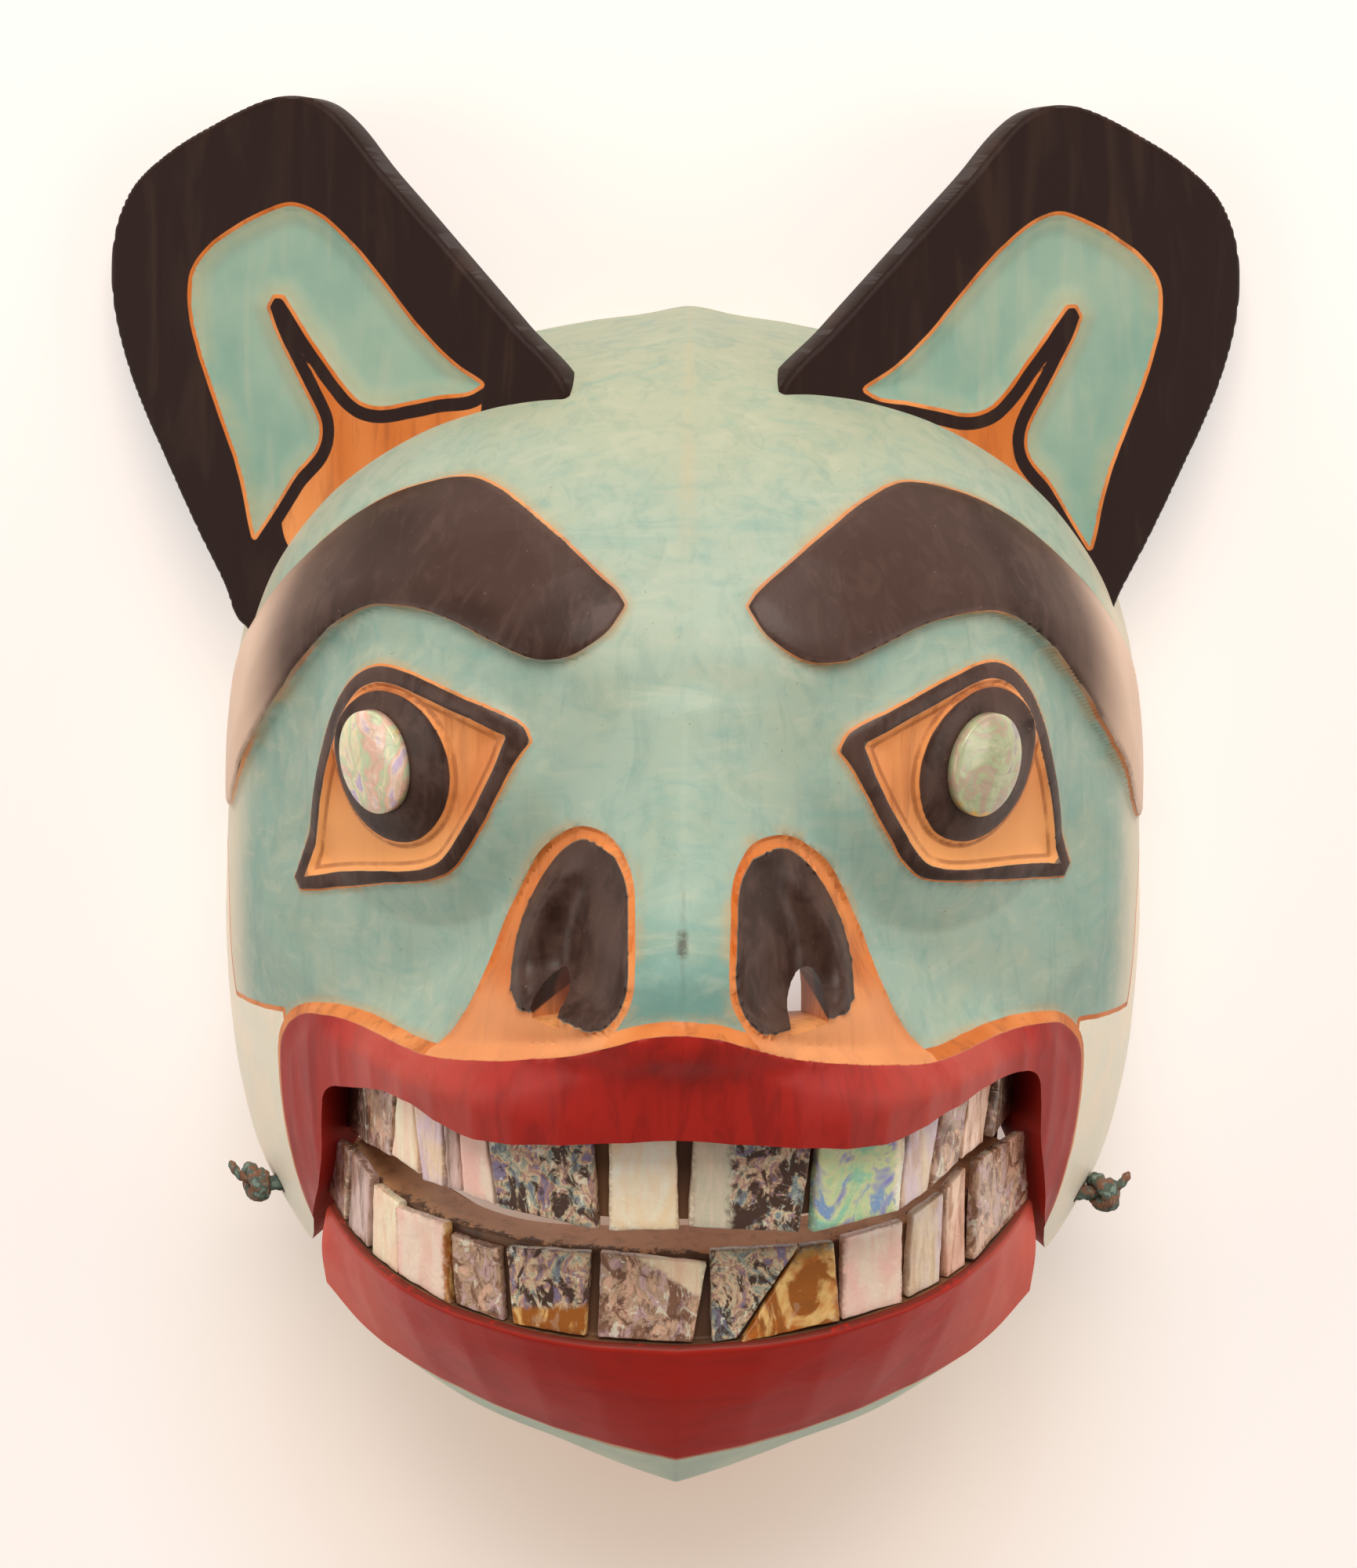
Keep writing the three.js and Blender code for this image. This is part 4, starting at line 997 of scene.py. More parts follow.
jaw_half = np.concatenate([spaced((0, 53.4, 0.6)), [53.7, 54.15, 54.6, 55.0], spaced((56, 90, 1.2))])
CORNER_STEPS = np.array([-0.12, -0.08, -0.04, 0.0, 0.04, 0.08, 0.12])  # from -CORNER to CORNER
STEPS_BETWEEN = [3, 10, 4, 2, 14, 14, 16, 22, 8, 4, 8, 14, 16, 12]
jaw_rows = np.concatenate([np.concatenate([CORNER_STEPS + i, i + spaced((CORNER, 1 - CORNER, 0.76 / n))[1:-1]])
                           for i, n in enumerate(STEPS_BETWEEN)] + [[len(STEPS_BETWEEN) - CORNER]])
jaw_sheet = on_grid("carved_jaw", both_ways(jaw_half), jaw_rows, jaw_place)
jaw = marked(closed(jaw_sheet, to_axis=False), INSIDE)


def walk_and_angle():
    """For each vertex of the jaw: how far round the section it lies, its place and its angle in degrees."""
    points = in_face(jaw.data)
    walk = read(jaw.data.attributes["walk"].data, "value", 1)
    return walk, points, np.degrees(np.arctan2(points[:, 0], points[:, 2]))


walked, points, angle = walk_and_angle()
jaw_part = np.full(len(jaw.data.polygons), INSIDE, np.int32)
for face in jaw.data.polygons:
    corners = list(face.vertices)
    walk, turn = walked[corners], np.abs(angle)[corners].mean()
    middle = walk.mean()
    if walk.max() - walk.min() > 2:
        continue
    if 6 < middle < 9:
        jaw_part[face.index] = CHIN
    elif turn < 54.7 and middle < 6:
        jaw_part[face.index] = LEDGE if middle < 1 else GUM if middle < 2.9 else LIP_FRONT
jaw.data.attributes["part"].data.foreach_set("value", jaw_part)
joined(jaw, [hinge_bore()], "DIFFERENCE")
walked, points, angle = walk_and_angle()
turn = np.abs(angle)
foot_gap = np.hypot(np.hypot(points[:, 0], points[:, 2]) - along(turn, LIP_FOOT_RADIUS),
                    points[:, 1] - along(turn, LIP_FOOT))
keep(jaw.data, foot=foot_gap * np.sign(walked - 6), turn=turn)

# painted light: the chin's greens are lighter than the face's, standing in for light bounced up from the floor
# under the chin
CHIN_GREEN, CHIN_DEEP = (0.68, 0.76, 0.56, 1), (0.50, 0.62, 0.48, 1)
LOWER_RED = (0.49, 0.021, 0.012, 1)


def jaw_paint():
    """Red lip with a bare line along its foot, and a green chin."""
    finish = Finish("jaw_paint")
    foot = finish.kept("foot") + (finish.cloud(90, detail=2) - 0.5) * 0.7
    turn, walk = finish.kept("turn"), finish.kept("walk")
    strokes = finish.cloud(120, stretch=(0.3, 1, 1), twist=0.8)
    patches = finish.cloud(26, detail=4, rough=0.6)
    rubbed_and_sheen = finish.cloud(500, stretch=(0.25, 1, 1)).over(0.6, 0.06)
    glued = walk.under(3.95, 0.25) * walk.over(2.5) * finish.cloud(330).over(0.34, 0.1)
    wood, grain = wood_grain(finish)
    red = finish.coats(
        LOWER_RED,
        (strokes.under(0.47, 0.12) * 0.25, RED_DEEP),
        # the lower lip lighter toward its sides: partly worn paint, partly a painted sheen of the side lights
        (turn.over(39, 7) * patches.over(0.36, 0.2) * 0.85, (0.68, 0.125, 0.082, 1)),
        (rubbed_and_sheen * turn.over(24, 14) * 0.25, RED_WORN_AND_SHEEN),
        (glued * 0.8, (0.10, 0.025, 0.015, 1)),
    )
    green = finish.coats(
        CHIN_GREEN,
        (patches.under(0.5, 0.15), CHIN_DEEP),
        (foot.under(2.8, 0.8) * strokes.over(0.5, 0.1) * 0.6, (0.5, 0.3, 0.14, 1)),
    )
    colour = finish.coats(red, (foot.over(0.0), wood), (foot.over(1.3), green))
    height = (strokes * 0.00016) + (grain * 0.0001) + (facets(finish, 14) * 0.0005)
    return finish.finished(colour, 0.4, height, specular=0.16)


def worn_ledge():
    """The top of the lower gum: bare wood browned by handling and glue."""
    finish = Finish("worn_ledge")
    wood, grain = wood_grain(finish, (0.95, 0.56, 0.31, 1), (0.74, 0.37, 0.18, 1), (0.34, 0.15, 0.07, 1))
    crumbs = finish.cloud(260, detail=5, rough=0.7)
    glue = (finish.kept("walk") + (crumbs - 0.5) * 1.3).over(0.93, 0.08)
    colour = finish.coats(wood, (glue * 0.85, (0.07, 0.032, 0.018, 1)))
    return finish.finished(colour, 0.5, (grain * 0.0003) + (crumbs * glue * 0.0012), strength=0.6)


# the finishes' slots for the parts OUTER, HOLLOW, MOUTH, BORE, GUM, LEDGE, LIP_FRONT, CHIN, INSIDE
painted(jaw, (jaw_paint(), worn_ledge(), gum_dark, wood_inside, bore_black), (0, 3, 3, 4, 2, 1, 0, 0, 3))
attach(jaw, "lower_jaw")
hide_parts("jaw")

# Ears: two flat boards of the same wood, sunk between the fork and the rim, let into the crown
# and painted black round a green ground.
EAR_AT, EAR_TURN, EAR_LEAN, EAR_THICK, EAR_SHIFT = Vector((61, 72, 44)), 0.38, 0.12, 11.0, -3.5
EAR_EDGE = [(32, 80), (25, 78.6), (18.5, 74), (10, 65), (0, 55.5), (-12, 44), (-25, 31.5), (-39, 17.5),
            (-36, 2), (-12, -6), (14, -28), (30, -48), (42, -41), (46, -33), (54, -20), (63, -4), (71, 11),
            (76, 24), (78.3, 36), (77.5, 48), (73, 58), (64, 66), (52, 73), (40, 78.5)]
FORK_OUT = [(-7.4, 14.4), (0.8, 12.5), (6.9, 11.2), (12.1, 12.1), (16.5, 15.6), (21.9, 21.9), (26.4, 27.2),
            (29.8, 31.7)]
FORK_BACK = [(36.9, 32.2), (34.9, 27.6), (31.4, 21.4), (26.9, 14.1), (23, 7.7), (22.2, 3.9), (23.3, 0.1),
             (28.4, -5.9)]
EAR_GREEN = [(38, -21), (43, -3.5), (47, 5.5), (51, 14.5), (54.5, 23.5), (56.5, 32), (56, 39), (51.5, 45),
             (45, 49.5), (38, 53), (31, 55.2), (24, 53), (17, 48), (10, 41.5), (3, 34), (-4, 27), (-11, 21.5),
             (-18, 17.5), (-14.6, 15.6), *FORK_OUT, (32.5, 35), (35.2, 35), *FORK_BACK, (33.4, -13.9)]
EAR_FORK = [(35.1, 35.2), *FORK_BACK, (31.2, -12.5), (31, -18), (29.5, -22), (25, -26), (10, -30), (0, -14),
            (-12, -4), (-17.5, 6), (-18.6, 13.6), (-16.5, 15), (-14.6, 15.4), *FORK_OUT, (32.9, 34.9)]
EAR_DEPTH, EAR_EDGE_ROUND, EAR_BACK_ROUND = 1.6, 1.5, 1.3
EAR_LINES = {"edge": drawn(EAR_EDGE, corner=60), "ground": drawn(EAR_GREEN), "fork": drawn(EAR_FORK)}


def ear_distance(spot, line):
    """Signed distance on the ear's own plane, in millimetres."""
    return nearest(spot, EAR_LINES[line], 1000.0, np.asarray)[0]


def ear_frame(side):
    out = Vector((EAR_TURN, EAR_LEAN, 1)).normalized()
    across = Vector((0, 1, 0)).cross(out).normalized()
    turned = Matrix.Translation(EAR_AT) @ Matrix((across, out.cross(across), out)).transposed().to_4x4()
    mirrored = Matrix.Scale(side, 4, (1, 0, 0)) @ turned
    return Matrix.Scale(MM, 4) @ Matrix.Translation(FACE_AXIS + Vector((EAR_SHIFT, 0, 0))) @ mirrored


def ear_front(u, v):
    """Height of the ear's carved face over its plane: rounded at the rim, sunk at the green ground."""
    spot = np.stack([u, v], 1)
    edge, ground = ear_distance(spot, "edge"), ear_distance(spot, "ground")
    over = np.clip(edge + EAR_EDGE_ROUND, 0, EAR_EDGE_ROUND)
    rounded = EAR_EDGE_ROUND - np.sqrt(EAR_EDGE_ROUND**2 - over**2)
    sunk = EAR_DEPTH * (0.35 * blend(-ground, 0, 0.25) + 0.65 * blend(-ground, 0, 5))
    ripple = [0.1 * noise.noise(Vector((a * 0.08, b * 0.08, 3.0))) for a, b in zip(u, v)]
    return np.stack([u, v, -rounded - sunk - 0.1 + np.array(ripple)], 1)


def in_ear(name, shape, side, part):
    """An object made in the ear's own frame, brought to its side of the head."""
    bmesh.ops.recalc_face_normals(shape, faces=shape.faces)
    bmesh.ops.transform(shape, matrix=ear_frame(side), verts=shape.verts)
    if side < 0:
        bmesh.ops.reverse_faces(shape, faces=shape.faces)
    return marked(meshed(name, shape), part)


def ear(side, name):
    """A board sawn to the ear's outline, with the waste before its carved face and the head cut away."""
    slab = bmesh.new()
    base = slab.faces.new([slab.verts.new((u, v, -EAR_THICK)) for u, v in EAR_LINES["edge"]])
    raised = only_vertices(bmesh.ops.extrude_face_region(slab, geom=[base]))
    bmesh.ops.translate(slab, vec=(0, 0, EAR_THICK + 4), verts=raised)
    bmesh.ops.recalc_face_normals(slab, faces=slab.faces)
    under = [edge for edge in slab.edges if all(abs(v.co.z + EAR_THICK) < 1e-4 for v in edge.verts)]
    bmesh.ops.bevel(slab, geom=under, offset=EAR_BACK_ROUND, segments=3, affect="EDGES", profile=0.5,
                    material=-1)
    board = in_ear(name, slab, side, INSIDE)
    waste = bmesh.new()
    waste.from_mesh(on_grid("ear_waste", spaced((-50, 90, 0.8)), spaced((-60, 92, 0.8)), ear_front))
    bmesh.ops.scale(waste, vec=(1000, 1000, 1000), verts=waste.verts)
    bmesh.ops.translate(waste, vec=-FACE_AXIS, verts=waste.verts)
    for vertex in only_vertices(bmesh.ops.extrude_edge_only(waste, edges=border(waste))):
        vertex.co.z = 12
    bmesh.ops.holes_fill(waste, edges=border(waste), sides=0)
    joined(board, [in_ear("ear_waste", waste, side, OUTER)], "DIFFERENCE")
    joined(board, [placed("head_block", head_form.copy())], "DIFFERENCE")
    back_again = np.array(ear_frame(side).inverted())
    spot = read(board.data.vertices, "co", 3) @ back_again[:3, :3].T + back_again[:3, 3]
    keep(board.data, **{line: ear_distance(spot[:, :2], line) for line in EAR_LINES})
    return board


def ear_paint():
    """Black rim, green ground with a bare line round it, and a bare fork with a black stroke."""
    finish = Finish("ear_paint")
    waver = (finish.cloud(90, detail=2) - 0.5) * 0.6
    ground, fork = finish.kept("ground") + waver, finish.kept("fork") + waver
    strokes = finish.cloud(120, stretch=(1, 0.16, 1), twist=0.8)
    patches = finish.cloud(26, detail=4, rough=0.6)
    wood, grain = wood_grain(finish)
    black = finish.coats((0.020, 0.0075, 0.005, 1), (strokes.over(0.60, 0.12) * 0.35, (0.065, 0.032, 0.021, 1)))
    green = finish.coats(
        (0.32, 0.45, 0.34, 1),
        (patches.under(0.5, 0.15), (0.23, 0.38, 0.30, 1)),
        (strokes.over(0.56, 0.1) * 0.3, (0.46, 0.50, 0.36, 1)),
        (ground.over(-3.0, 2.5) * patches.over(0.46, 0.1) * 0.4, (0.50, 0.40, 0.22, 1)),
    )
    bare = ground.over(3.9) * fork.under(0.0)
    colour = finish.coats(black, (bare, wood), (ground.under(0.9), wood), (ground.under(0.0), green))
    return finish.finished(colour, 0.5, (strokes * 0.0002) + (grain * 0.0001), specular=0.14)


painted_ear = ear_paint()
for side, name in ((-1, "ear_left"), (1, "ear_right")):
    board = ear(side, "carved_" + name)
    painted(board, (painted_ear,), [0] * 9)
    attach(board, "mask")
    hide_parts(name)

# Teeth: thin tiles sawn from different shells, some dark and full of sparkling chips, some pale and
# streaked, their edges bevelled by hand and set in brown glue on the two gums.
def tone(red, green, blue):
    """A colour from its 0 to 255 values as they look inside the shaded mouth."""
    seen = zip((red, green, blue), (1.46, 1.32, 1.26))
    return tuple(min(((value / 255 + 0.055) / 1.055) ** 2.4 * gain, 0.96) for value, gain in seen) + (1.0,)


def hues_of(finish, value, tones, span):
    """Runs through several tones as a value rises."""
    return finish.ramp(value, *[(0.30 + span * k / len(tones), tone(*hue)) for k, hue in enumerate(tones)])


def sparkling(finish, ground, hues, shift=0.0, lit=0.5, size=1.0, flecks=0.55):
    """Dark shell full of chips: folded layers that flash in several hues over a brown ground."""
    where = {"turn": (0.3, 0.2, 0.6), "stretch": (1, 0.7, 1)}
    folds = finish.cloud(150 / size, detail=5, rough=0.66, twist=1.6, shift=(shift, 0, 0), **where)
    layers = finish.cloud(260 / size, rough=0.6, twist=1.8, shift=(shift, 0.2, 0), **where)
    hue = finish.cloud(170 / size, rough=0.65, twist=1.2, shift=(0, shift + 0.3, 0), **where)
    return finish.coats(
        tone(*ground),
        (folds.over(lit, 0.05) * 0.92, hues_of(finish, hue, hues, 0.40)),
        (layers.over(0.62, 0.03) * flecks, tone(226, 222, 204)),
        (layers.under(0.40, 0.04) * flecks, tone(*DARK_SHELL)),
    )


def streaked(finish, ground, second, line, shift=0.0, lines=0.4, slant=0.0):
    """Pale shell: a soft ground with clouds of a second hue and fine growth lines along it."""
    clouds = finish.cloud(110, stretch=(1, 0.45, 1), twist=0.8, shift=(shift, 0, 0), turn=(0, 0, slant))
    fine = finish.cloud(420, detail=4, rough=0.65, stretch=(1, 0.14, 1), twist=0.5, shift=(0, shift, 0),
                        turn=(0, 0, slant))
    return finish.coats(tone(*ground), (clouds.over(0.5, 0.14), tone(*second)),
                        (fine.under(0.45, 0.1) * lines, tone(*line)))


DARK_SHELL = (64, 48, 40)
CHIPS = [(116, 106, 126), (104, 124, 132), (150, 160, 146), (200, 182, 150), (164, 132, 118), (118, 112, 138)]
LILACS = [(146, 122, 130), (184, 160, 160), (160, 140, 116), (198, 166, 144)]
BLUES = [(120, 168, 176), (134, 190, 150), (186, 200, 146), (118, 122, 182)]
AMBERS = [(190, 126, 50), (226, 184, 120), (170, 100, 36)]
SHELL_LOOKS = {
    # sparkling: ground, hues, shift, lit, size, flecks; streaked: ground, second, line, shift, lines, slant
    "grey_brown": (sparkling, (104, 88, 76), LILACS, 0.1, 0.58),
    "lilac_brown": (sparkling, (116, 86, 68), LILACS, 0.2, 0.47),
    "cream": (streaked, (236, 212, 184), (226, 190, 166), (202, 168, 136), 0.1, 0.5, 0.2),
    "lilac": (streaked, (196, 182, 198), (206, 188, 160), (160, 140, 150), 0.2, 0.5),
    "brown_lines": (streaked, (188, 166, 160), (156, 132, 120), (106, 82, 66), 0.3, 0.9),
    "pink": (streaked, (230, 200, 184), (216, 178, 168), (206, 170, 152), 0.4, 0.4),
    "dark_sparkle": (sparkling, DARK_SHELL, CHIPS, 0.3, 0.47, 0.85),
    "dark_chips": (sparkling, DARK_SHELL, CHIPS, 0.7, 0.51, 0.8, 0.4),
    "cream_cloud": (streaked, (240, 198, 164), (250, 226, 208), (226, 184, 158), 0.5, 0.3),
    "green_cream": (streaked, (196, 188, 166), (176, 178, 158), (208, 190, 176), 0.6, 0.5),
    "blue_green": (sparkling, (110, 142, 180), BLUES, 0.5, 0.42, 2.2, 0.06),
    "pale_green": (streaked, (202, 192, 170), (186, 176, 186), (166, 132, 96), 0.7, 0.5, 0.3),
    "pink_lines": (streaked, (222, 190, 170), (196, 156, 136), (148, 104, 76), 0.8, 0.8),
    "amber": (sparkling, (140, 84, 28), AMBERS, 0.9, 0.5, 2.0, 0.12),
    "amber_dark": (sparkling, (104, 92, 74), [(130, 136, 116), (158, 120, 60)], 0.7, 0.5, 1.5, 0.3),
}
TWO_LOOKS = {
    # a first look, a second, and the line that it lies over: across * run + up * rise = edge
    "pale_beside_dark": ("green_cream", "dark_chips", 1, 0, 0.34),
    "pink_with_edge": ("pink", "amber", 1, 0, 0.9),
    "dark_over_amber": ("amber", "dark_sparkle", -0.15, 1, 0.22),
    "cream_round_dark": ("lilac_brown", "cream", 0.75, 1, 1.25),
    "blue_with_edge": ("blue_green", "cream_cloud", 1, 0, 0.9),
    "amber_under_dark": ("amber", "amber_dark", -0.35, 1, 0.62),
}


def shell(look):
    """A finish of one look, or of two that meet along a line across the tile."""
    finish = Finish(look + "_shell")
    first, second, run, rise, edge = TWO_LOOKS.get(look, (look, None, 0, 0, 0))
    across, up = finish.kept("across"), finish.kept("up")

    def laid(name):
        kind, *looks = SHELL_LOOKS[name]
        return kind(finish, *looks)
    colour = laid(first)
    if second:
        waver = (finish.cloud(500, detail=2) - 0.5) * 0.18
        colour = finish.coats(colour, (((across * run) + (up * rise) + waver).over(edge, 0.05), laid(second)))
    rim = across.under(0.05, 0.03).either(across.over(0.95, 0.03), up.under(0.04, 0.03), up.over(0.96, 0.03))
    colour = finish.coats(colour, (rim * finish.cloud(800).over(0.45, 0.1) * 0.4, tone(96, 66, 46)))
    relief = finish.cloud(230, detail=4, rough=0.55, twist=0.8)
    rough = finish.node("ShaderNodeMapRange", {"Value": relief, "To Min": 0.14, "To Max": 0.4})
    return finish.finished(colour, rough, relief * 0.0005, coat=0.2)


UPPER_ROW, LOWER_ROW = (80.0, 128.0), (87.0, 112.5)
TILE, TILE_GAP, TILE_EDGE = 2.5, 0.3, 0.4
TILE_TILT, TILE_WARP = 0.10, 0.24
LIP_OVER_TILE = [(0, 0), (20, 16.5), (40, 34), (50, 43.2), (60, 55.4), (66, 64.7), (70, 72.2), (74, 80.9),
                 (76, 85.5), (80, 86.5)]


def row_point(row, x):
    """The point of a gum's curve at a given X."""
    low, high = 0.0, math.radians(89)
    for _ in range(40):
        middle = (low + high) / 2
        if oval(middle, *row, GUM_POWER) * math.sin(middle) < abs(x):
            low = middle
        else:
            high = middle
    return Vector((x, 0, oval(low, *row, GUM_POWER) * math.cos(low)))


def root_height(row, x):
    """Where a tile starts: just below the upper lip, or on top of the lower one."""
    if row is UPPER_ROW:
        return float(lip_low(math.copysign(along(abs(x), LIP_OVER_TILE), x))) - 1
    return float(along(math.degrees(math.atan2(abs(x), row_point(row, x).z)), LIP_TOP)) + LIP_TILT * x + 0.6


def smooth_piece(name, shape, finish, in_mm=False):
    """An object with one finish."""
    piece = placed(name, meshed(name, shape, in_mm))
    piece.data.polygons.foreach_set("use_smooth", np.ones(len(piece.data.polygons), bool))
    piece.data.materials.append(finish)
    return piece


def tile(name, seed, finish, body, row, root_left, root_right, free_left, low_left, free_right, low_right):
    """A tooth: a tile from its roots to its free edge, with worn edges and a face that is not quite flat."""
    ends = [row_point(row, x) for x in (min(root_left, free_left), max(root_right, free_right))]
    across = (ends[1] - ends[0]).normalized()
    out = Vector((-across.z, 0, across.x))
    steps = np.linspace(ends[0].x, ends[1].x, 9)
    bulge = max((row_point(row, x) - ends[0]).dot(out) for x in steps) + TILE_GAP
    shape = bmesh.new()
    corners = [(root_left, root_height(row, root_left)), (root_right, root_height(row, root_right)),
               (free_right, low_right), (free_left, low_left)]
    back = []
    for x, y in corners:
        spot = ends[0] + across * ((x - ends[0].x) / across.x) + out * bulge
        back.append(shape.verts.new((spot.x, y, spot.z)))
    made = only_vertices(bmesh.ops.extrude_face_region(shape, geom=[shape.faces.new(back)]))
    bmesh.ops.translate(shape, vec=out * TILE, verts=made)
    bmesh.ops.recalc_face_normals(shape, faces=shape.faces)
    bmesh.ops.bevel(shape, geom=shape.edges[:], offset=TILE_EDGE, segments=2, affect="EDGES", profile=0.5,
                    material=-1)
    long_edges = [edge for edge in shape.edges if edge.calc_length() > 2.2]
    bmesh.ops.subdivide_edges(shape, edges=long_edges, cuts=9, use_grid_fill=True)
    tilt = noise.noise(Vector((seed * 3.7, 1.5, 0))) * TILE_TILT
    middle = sum((v.co for v in shape.verts), Vector()) / len(shape.verts)
    bmesh.ops.rotate(shape, cent=middle, matrix=Matrix.Rotation(tilt, 3, out), verts=shape.verts)
    for vertex in shape.verts:
        vertex.co += Vector(noise.noise_vector(vertex.co * 0.3 + Vector((seed * 7.3, 0, 0)))) * TILE_WARP
    spot = np.array([vertex.co for vertex in shape.verts])
    piece = smooth_piece("shell_" + name, shape, finish, in_mm=True)
    for label, value in (("across", spot @ np.array(across)), ("up", spot[:, 1])):
        keep(piece.data, **{label: (value - value.min()) / (value.max() - value.min())})
    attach(piece, body)
    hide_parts(name)


# each tile: its look, the X of its two root corners, and the X and Y of its two free corners
UPPER_TILES = [
    ("grey_brown", -75.9, -69.9, -75.6, -86.6, -68.8, -81.6),
    ("lilac_brown", -69.7, -61.3, -68.5, -81.6, -62.3, -78.8),
    ("cream", -61.0, -57.2, -62.0, -78.7, -55.2, -78.3),
    ("lilac", -56.9, -50.1, -54.8, -79.7, -49.8, -78.8),
    ("brown_lines", -49.8, -46.8, -49.3, -78.8, -46.0, -78.4),
    ("pink", -46.4, -40.5, -45.5, -78.3, -38.3, -79.0),
    ("dark_sparkle", -40.0, -17.7, -37.8, -78.9, -16.0, -80.3),
    ("cream_cloud", -14.8, -0.7, -15.1, -80.6, 0.0, -80.0),
    ("pale_beside_dark", 2.3, 27.4, 1.7, -79.2, 25.6, -81.2),
    ("blue_with_edge", 28.3, 47.6, 26.2, -81.0, 45.6, -81.9),
    ("pale_green", 48.2, 55.1, 46.2, -81.4, 52.7, -79.7),
    ("lilac_brown", 55.7, 62.0, 53.3, -79.6, 60.1, -76.7),
    ("pink_lines", 62.4, 68.2, 60.5, -76.7, 66.2, -76.8),
    ("grey_brown", 68.7, 78.8, 66.8, -76.8, 78.4, -83.0),
]
LOWER_TILES = [
    ("lilac_brown", -81.2, -75.5, -78.6, -88.0, -73.7, -85.8),
    ("brown_lines", -74.9, -69.6, -73.3, -85.8, -68.3, -89.0),
    ("cream", -68.7, -62.0, -67.7, -89.9, -61.3, -91.4),
    ("pink_with_edge", -61.5, -49.0, -62.7, -92.7, -50.4, -91.4),
    ("lilac_brown", -48.5, -37.3, -49.8, -94.0, -38.7, -94.7),
    ("dark_over_amber", -35.9, -19.7, -37.2, -93.6, -18.5, -92.8),
    ("cream_round_dark", -17.4, 3.7, -17.3, -92.7, 6.1, -94.1),
    ("dark_sparkle", 6.9, 12.3, 6.8, -91.1, 26.4, -91.4),
    ("amber_under_dark", 12.9, 34.9, 27.0, -91.3, 34.1, -91.3),
    ("pink", 35.6, 49.3, 34.7, -90.7, 48.0, -88.7),
    ("pale_green", 49.9, 57.4, 50.7, -88.4, 57.9, -85.5),
    ("pink_lines", 58.8, 63.2, 58.5, -84.7, 63.1, -81.6),
    ("lilac_brown", 64.3, 79.4, 64.2, -81.3, 76.8, -81.6),
]
finishes = {}
for label, tiles, row, body in (("upper", UPPER_TILES, UPPER_ROW, "mask"),
                                ("lower", LOWER_TILES, LOWER_ROW, "lower_jaw")):
    for number, (look, *corners) in enumerate(tiles, 1):
        seed = number + (20 if label == "lower" else 0)
        if look not in finishes:
            finishes[look] = shell(look)
        tile(f"{label}_tooth_{number:02d}", seed, finishes[look], body, row, *corners)

# Eye discs: domed ovals of pale shell, pressed into pockets in the pupils. The left one shows more hues, the
# right one is greyer.
DOME_STEPS = [(0.35, 0.3), (1.8, 0.45), (2.0, 0.35), (2.0, 0.2), (2.0, 0.1)]  # inward and up
PALE_HUES = [(176, 164, 190), (206, 192, 176), (200, 166, 150), (166, 190, 158), (204, 198, 162),
             (164, 154, 186)]
GREY_HUES = [(136, 128, 130), (146, 158, 130), (162, 144, 128), (150, 168, 132), (166, 172, 142),
             (142, 142, 140)]
DISC_LOOKS = [
    # side, node, finish, hues, folds, where the amber spot lies
    (-1, "eye_disc_left", "pale_eye_shell", PALE_HUES, (150, 146, 120), (0.02, 0.01, 0)),
    (1, "eye_disc_right", "grey_eye_shell", GREY_HUES, (128, 128, 112), (0.3, 0.3, 0)),
]


def eye_shell(name, hues, fold, spot):
    """Pale shell in clouds of several hues that meet along folded lines."""
    finish = Finish(name)
    hue = finish.cloud(95, detail=4, rough=0.55, twist=1.6, turn=(0, 0, 0.7), stretch=(1, 0.7, 1))
    folds = finish.cloud(70, rough=0.5, twist=1.2, turn=(0, 0, 0.7))
    amber = finish.cloud(60, shift=spot).over(0.63, 0.04)
    colour = finish.coats(hues_of(finish, hue, hues, 0.42),
                          (folds.over(0.5, 0.02) * folds.under(0.53, 0.02) * 0.32, tone(*fold)),
                          (amber * 0.8, tone(206, 160, 60)))
    return finish.finished(colour, 0.18, folds * 0.0012, coat=0.25)


for side, name, finish, hues, fold, spot in DISC_LOOKS:
    shape = disc_plug(side, -0.05, -DISC_DEPTH, 0)
    out = disc_frame(side)[0].to_3x3() @ Vector((0, 0, 1))
    ends = [face for face in shape.faces if len(face.verts) > 20]
    front = max(ends, key=lambda face: face.calc_center_median().dot(out))
    for inset, lift in DOME_STEPS:
        bmesh.ops.inset_region(shape, faces=[front], thickness=inset * MM, use_even_offset=True)
        bmesh.ops.translate(shape, vec=out * lift * MM, verts=front.verts[:])
    piece = smooth_piece("shell_" + name, shape, eye_shell(finish, hues, fold, spot))
    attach(piece, "mask")
    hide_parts(name)

# Hinge cords: laid cord painted over with the teal of the face, knotted outside the cheek and again inside
# the jaw's arm, with a short frayed tail.
CORD_RADIUS, INNER_RADIUS, TAIL_RADIUS = 1.9, 1.7, 1.1
KNOT_OUT, KNOT_IN, OUTER_SIZE, INNER_SIZE = 103.0, 62.0, 3.5, 3.0


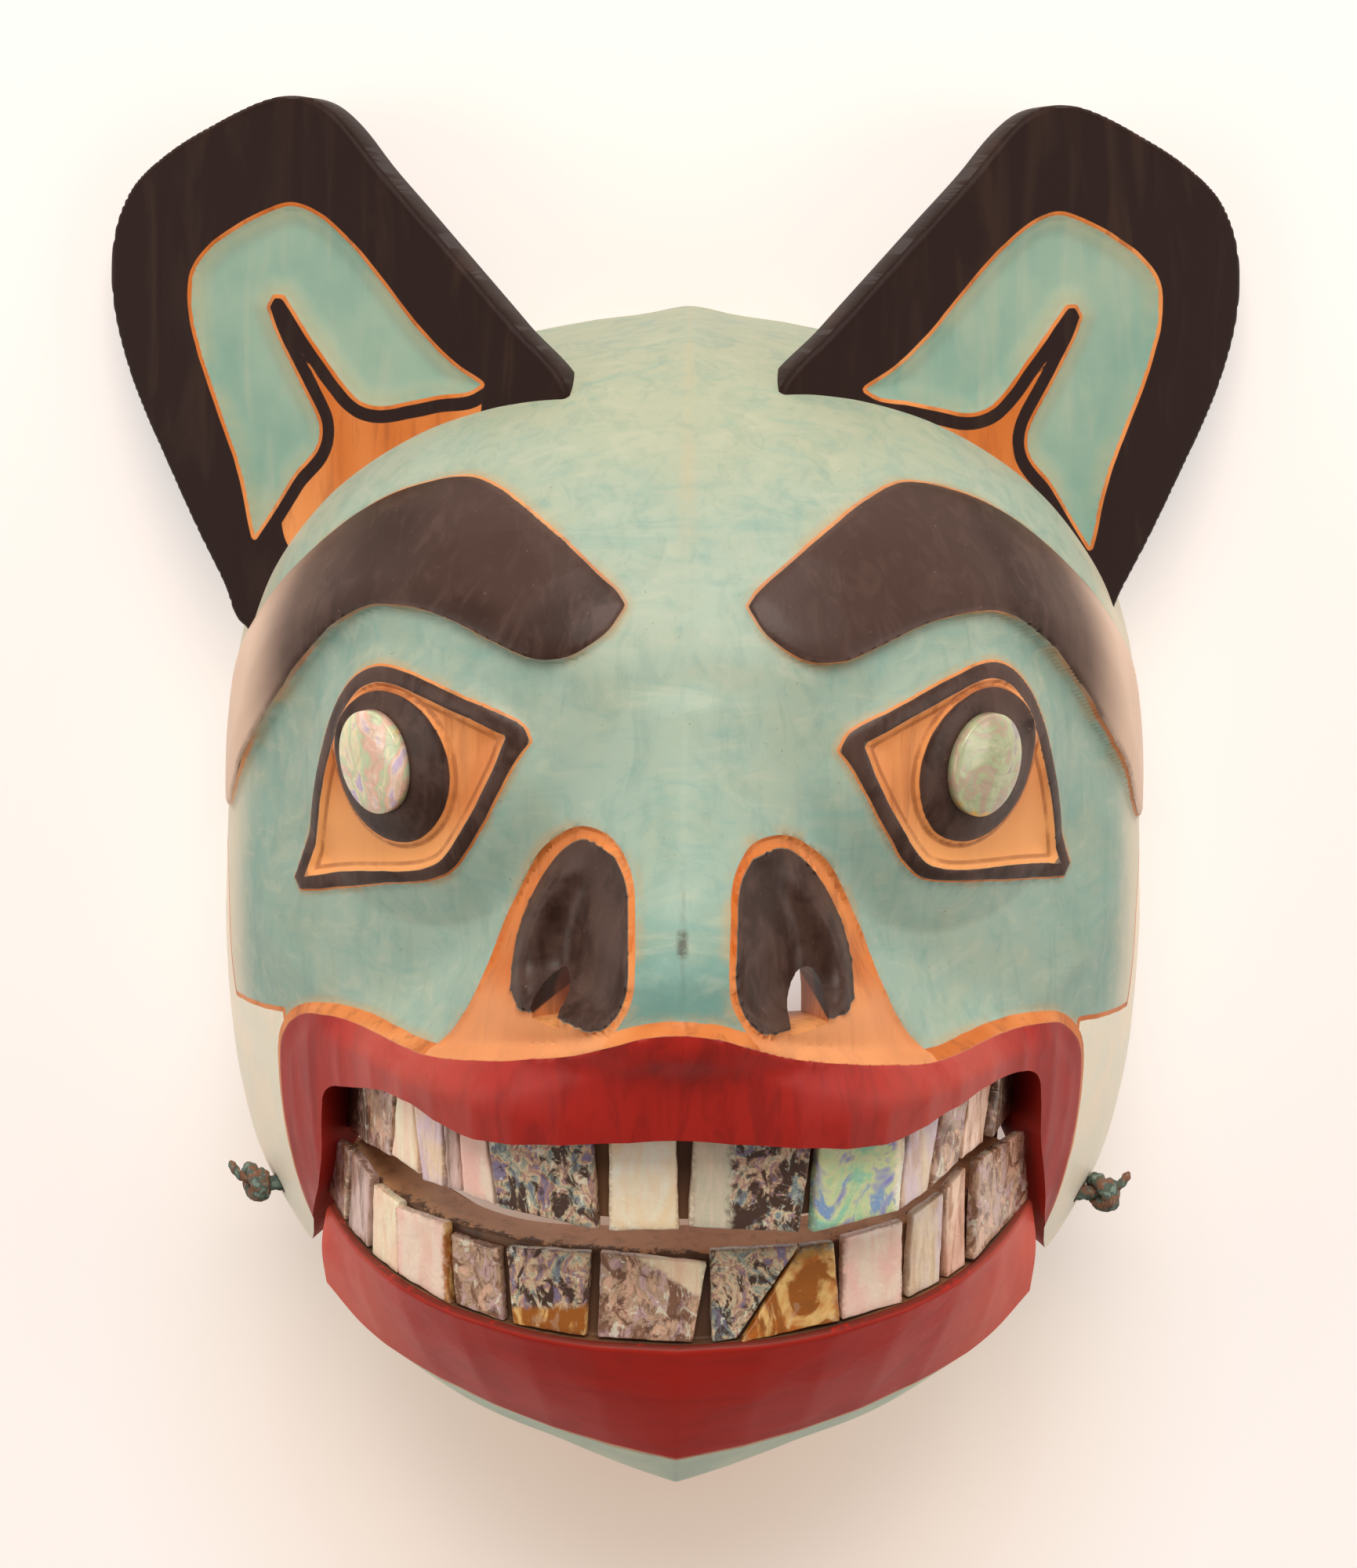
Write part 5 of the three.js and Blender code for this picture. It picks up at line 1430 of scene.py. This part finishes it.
def twisted(spine, radius, strands=3, pitch=7.0, round_count=14):
    """A laid cord along a line of points: a tube with the grooves between its strands."""
    spine = np.array(spine, float)
    along_it = np.gradient(spine, axis=0)
    along_it /= np.linalg.norm(along_it, axis=1)[:, None]
    walked = np.concatenate([[0], np.cumsum(np.linalg.norm(np.diff(spine, axis=0), axis=1))])
    side_way = np.cross(along_it[0], [0.3, 0.8, 0.5])
    rings = []
    for k, here in enumerate(spine):
        side_way = side_way - along_it[k] * side_way.dot(along_it[k])
        side_way /= np.linalg.norm(side_way)
        other = np.cross(along_it[k], side_way)
        turn = np.linspace(0, 2 * np.pi, round_count, endpoint=False)
        lay = strands * (turn - 2 * np.pi * walked[k] / pitch) / 2
        end = min(walked[k], walked[-1] - walked[k])
        width = radius * (0.80 + 0.24 * np.abs(np.cos(lay))) * min(1, 0.35 + end / radius * 0.65)
        round_it = np.cos(turn)[:, None] * side_way + np.sin(turn)[:, None] * other
        rings.append(here + round_it * width[:, None])
    return rings


def knot(centre, size, turns=2.6):
    """A line that winds round a lump, as the loops of an overhand knot do."""
    t = np.linspace(0, 2 * np.pi * turns, 90)
    roll = t * 0.55
    ring = np.stack([0.55 * np.sin(t * 0.9 + 0.6), np.cos(t) * (0.75 + 0.2 * np.cos(roll)),
                     np.sin(t) * (0.75 + 0.2 * np.sin(roll))], 1)
    return np.array(centre) + ring * size


def cord_finish():
    """Cord smeared with the teal and brown of the face."""
    finish = Finish("painted_cord")
    bands = finish.cloud(320, twist=0.6)
    fibres = finish.cloud(1500, stretch=(1, 0.3, 1))
    colour = finish.coats(
        (0.07, 0.11, 0.085, 1),
        (bands.over(0.52, 0.05), (0.20, 0.09, 0.05, 1)),
        (bands.under(0.40, 0.04) * 0.8, (0.22, 0.30, 0.24, 1)),
        (fibres.over(0.6, 0.06) * 0.4, (0.34, 0.36, 0.29, 1)),
    )
    return finish.finished(colour, 0.8, (bands * 0.0004) + (fibres * 0.0002), strength=0.6)


painted_cord = cord_finish()
for side, name in ((-1, "hinge_tie_left"), (1, "hinge_tie_right")):
    through = [(side * x, HINGE_Y, HINGE_Z) for x in np.linspace(KNOT_IN - 0.5, KNOT_OUT - 0.5, 60)]
    outer_loops = knot((side * KNOT_OUT, HINGE_Y, HINGE_Z), OUTER_SIZE)
    inner_loops = knot((KNOT_IN, HINGE_Y, HINGE_Z), INNER_SIZE) * (side, 1, 1)
    t = np.linspace(0, 1, 24)
    tail = np.stack([side * (0.5 + 5.5 * t), 1.5 + 4.5 * t * t, 1.0 + 1.5 * np.sin(3 * t)], 1)
    tail = tail + (side * KNOT_OUT, HINGE_Y, HINGE_Z)
    shape = bmesh.new()
    tube(shape, twisted(through, CORD_RADIUS))
    tube(shape, twisted(outer_loops, CORD_RADIUS))
    tube(shape, twisted(inner_loops, INNER_RADIUS))
    tube(shape, twisted(tail, TAIL_RADIUS, strands=2, pitch=4.0))
    piece = smooth_piece("knotted_" + name, shape, painted_cord, in_mm=True)
    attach(piece, "mask")
    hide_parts(name)
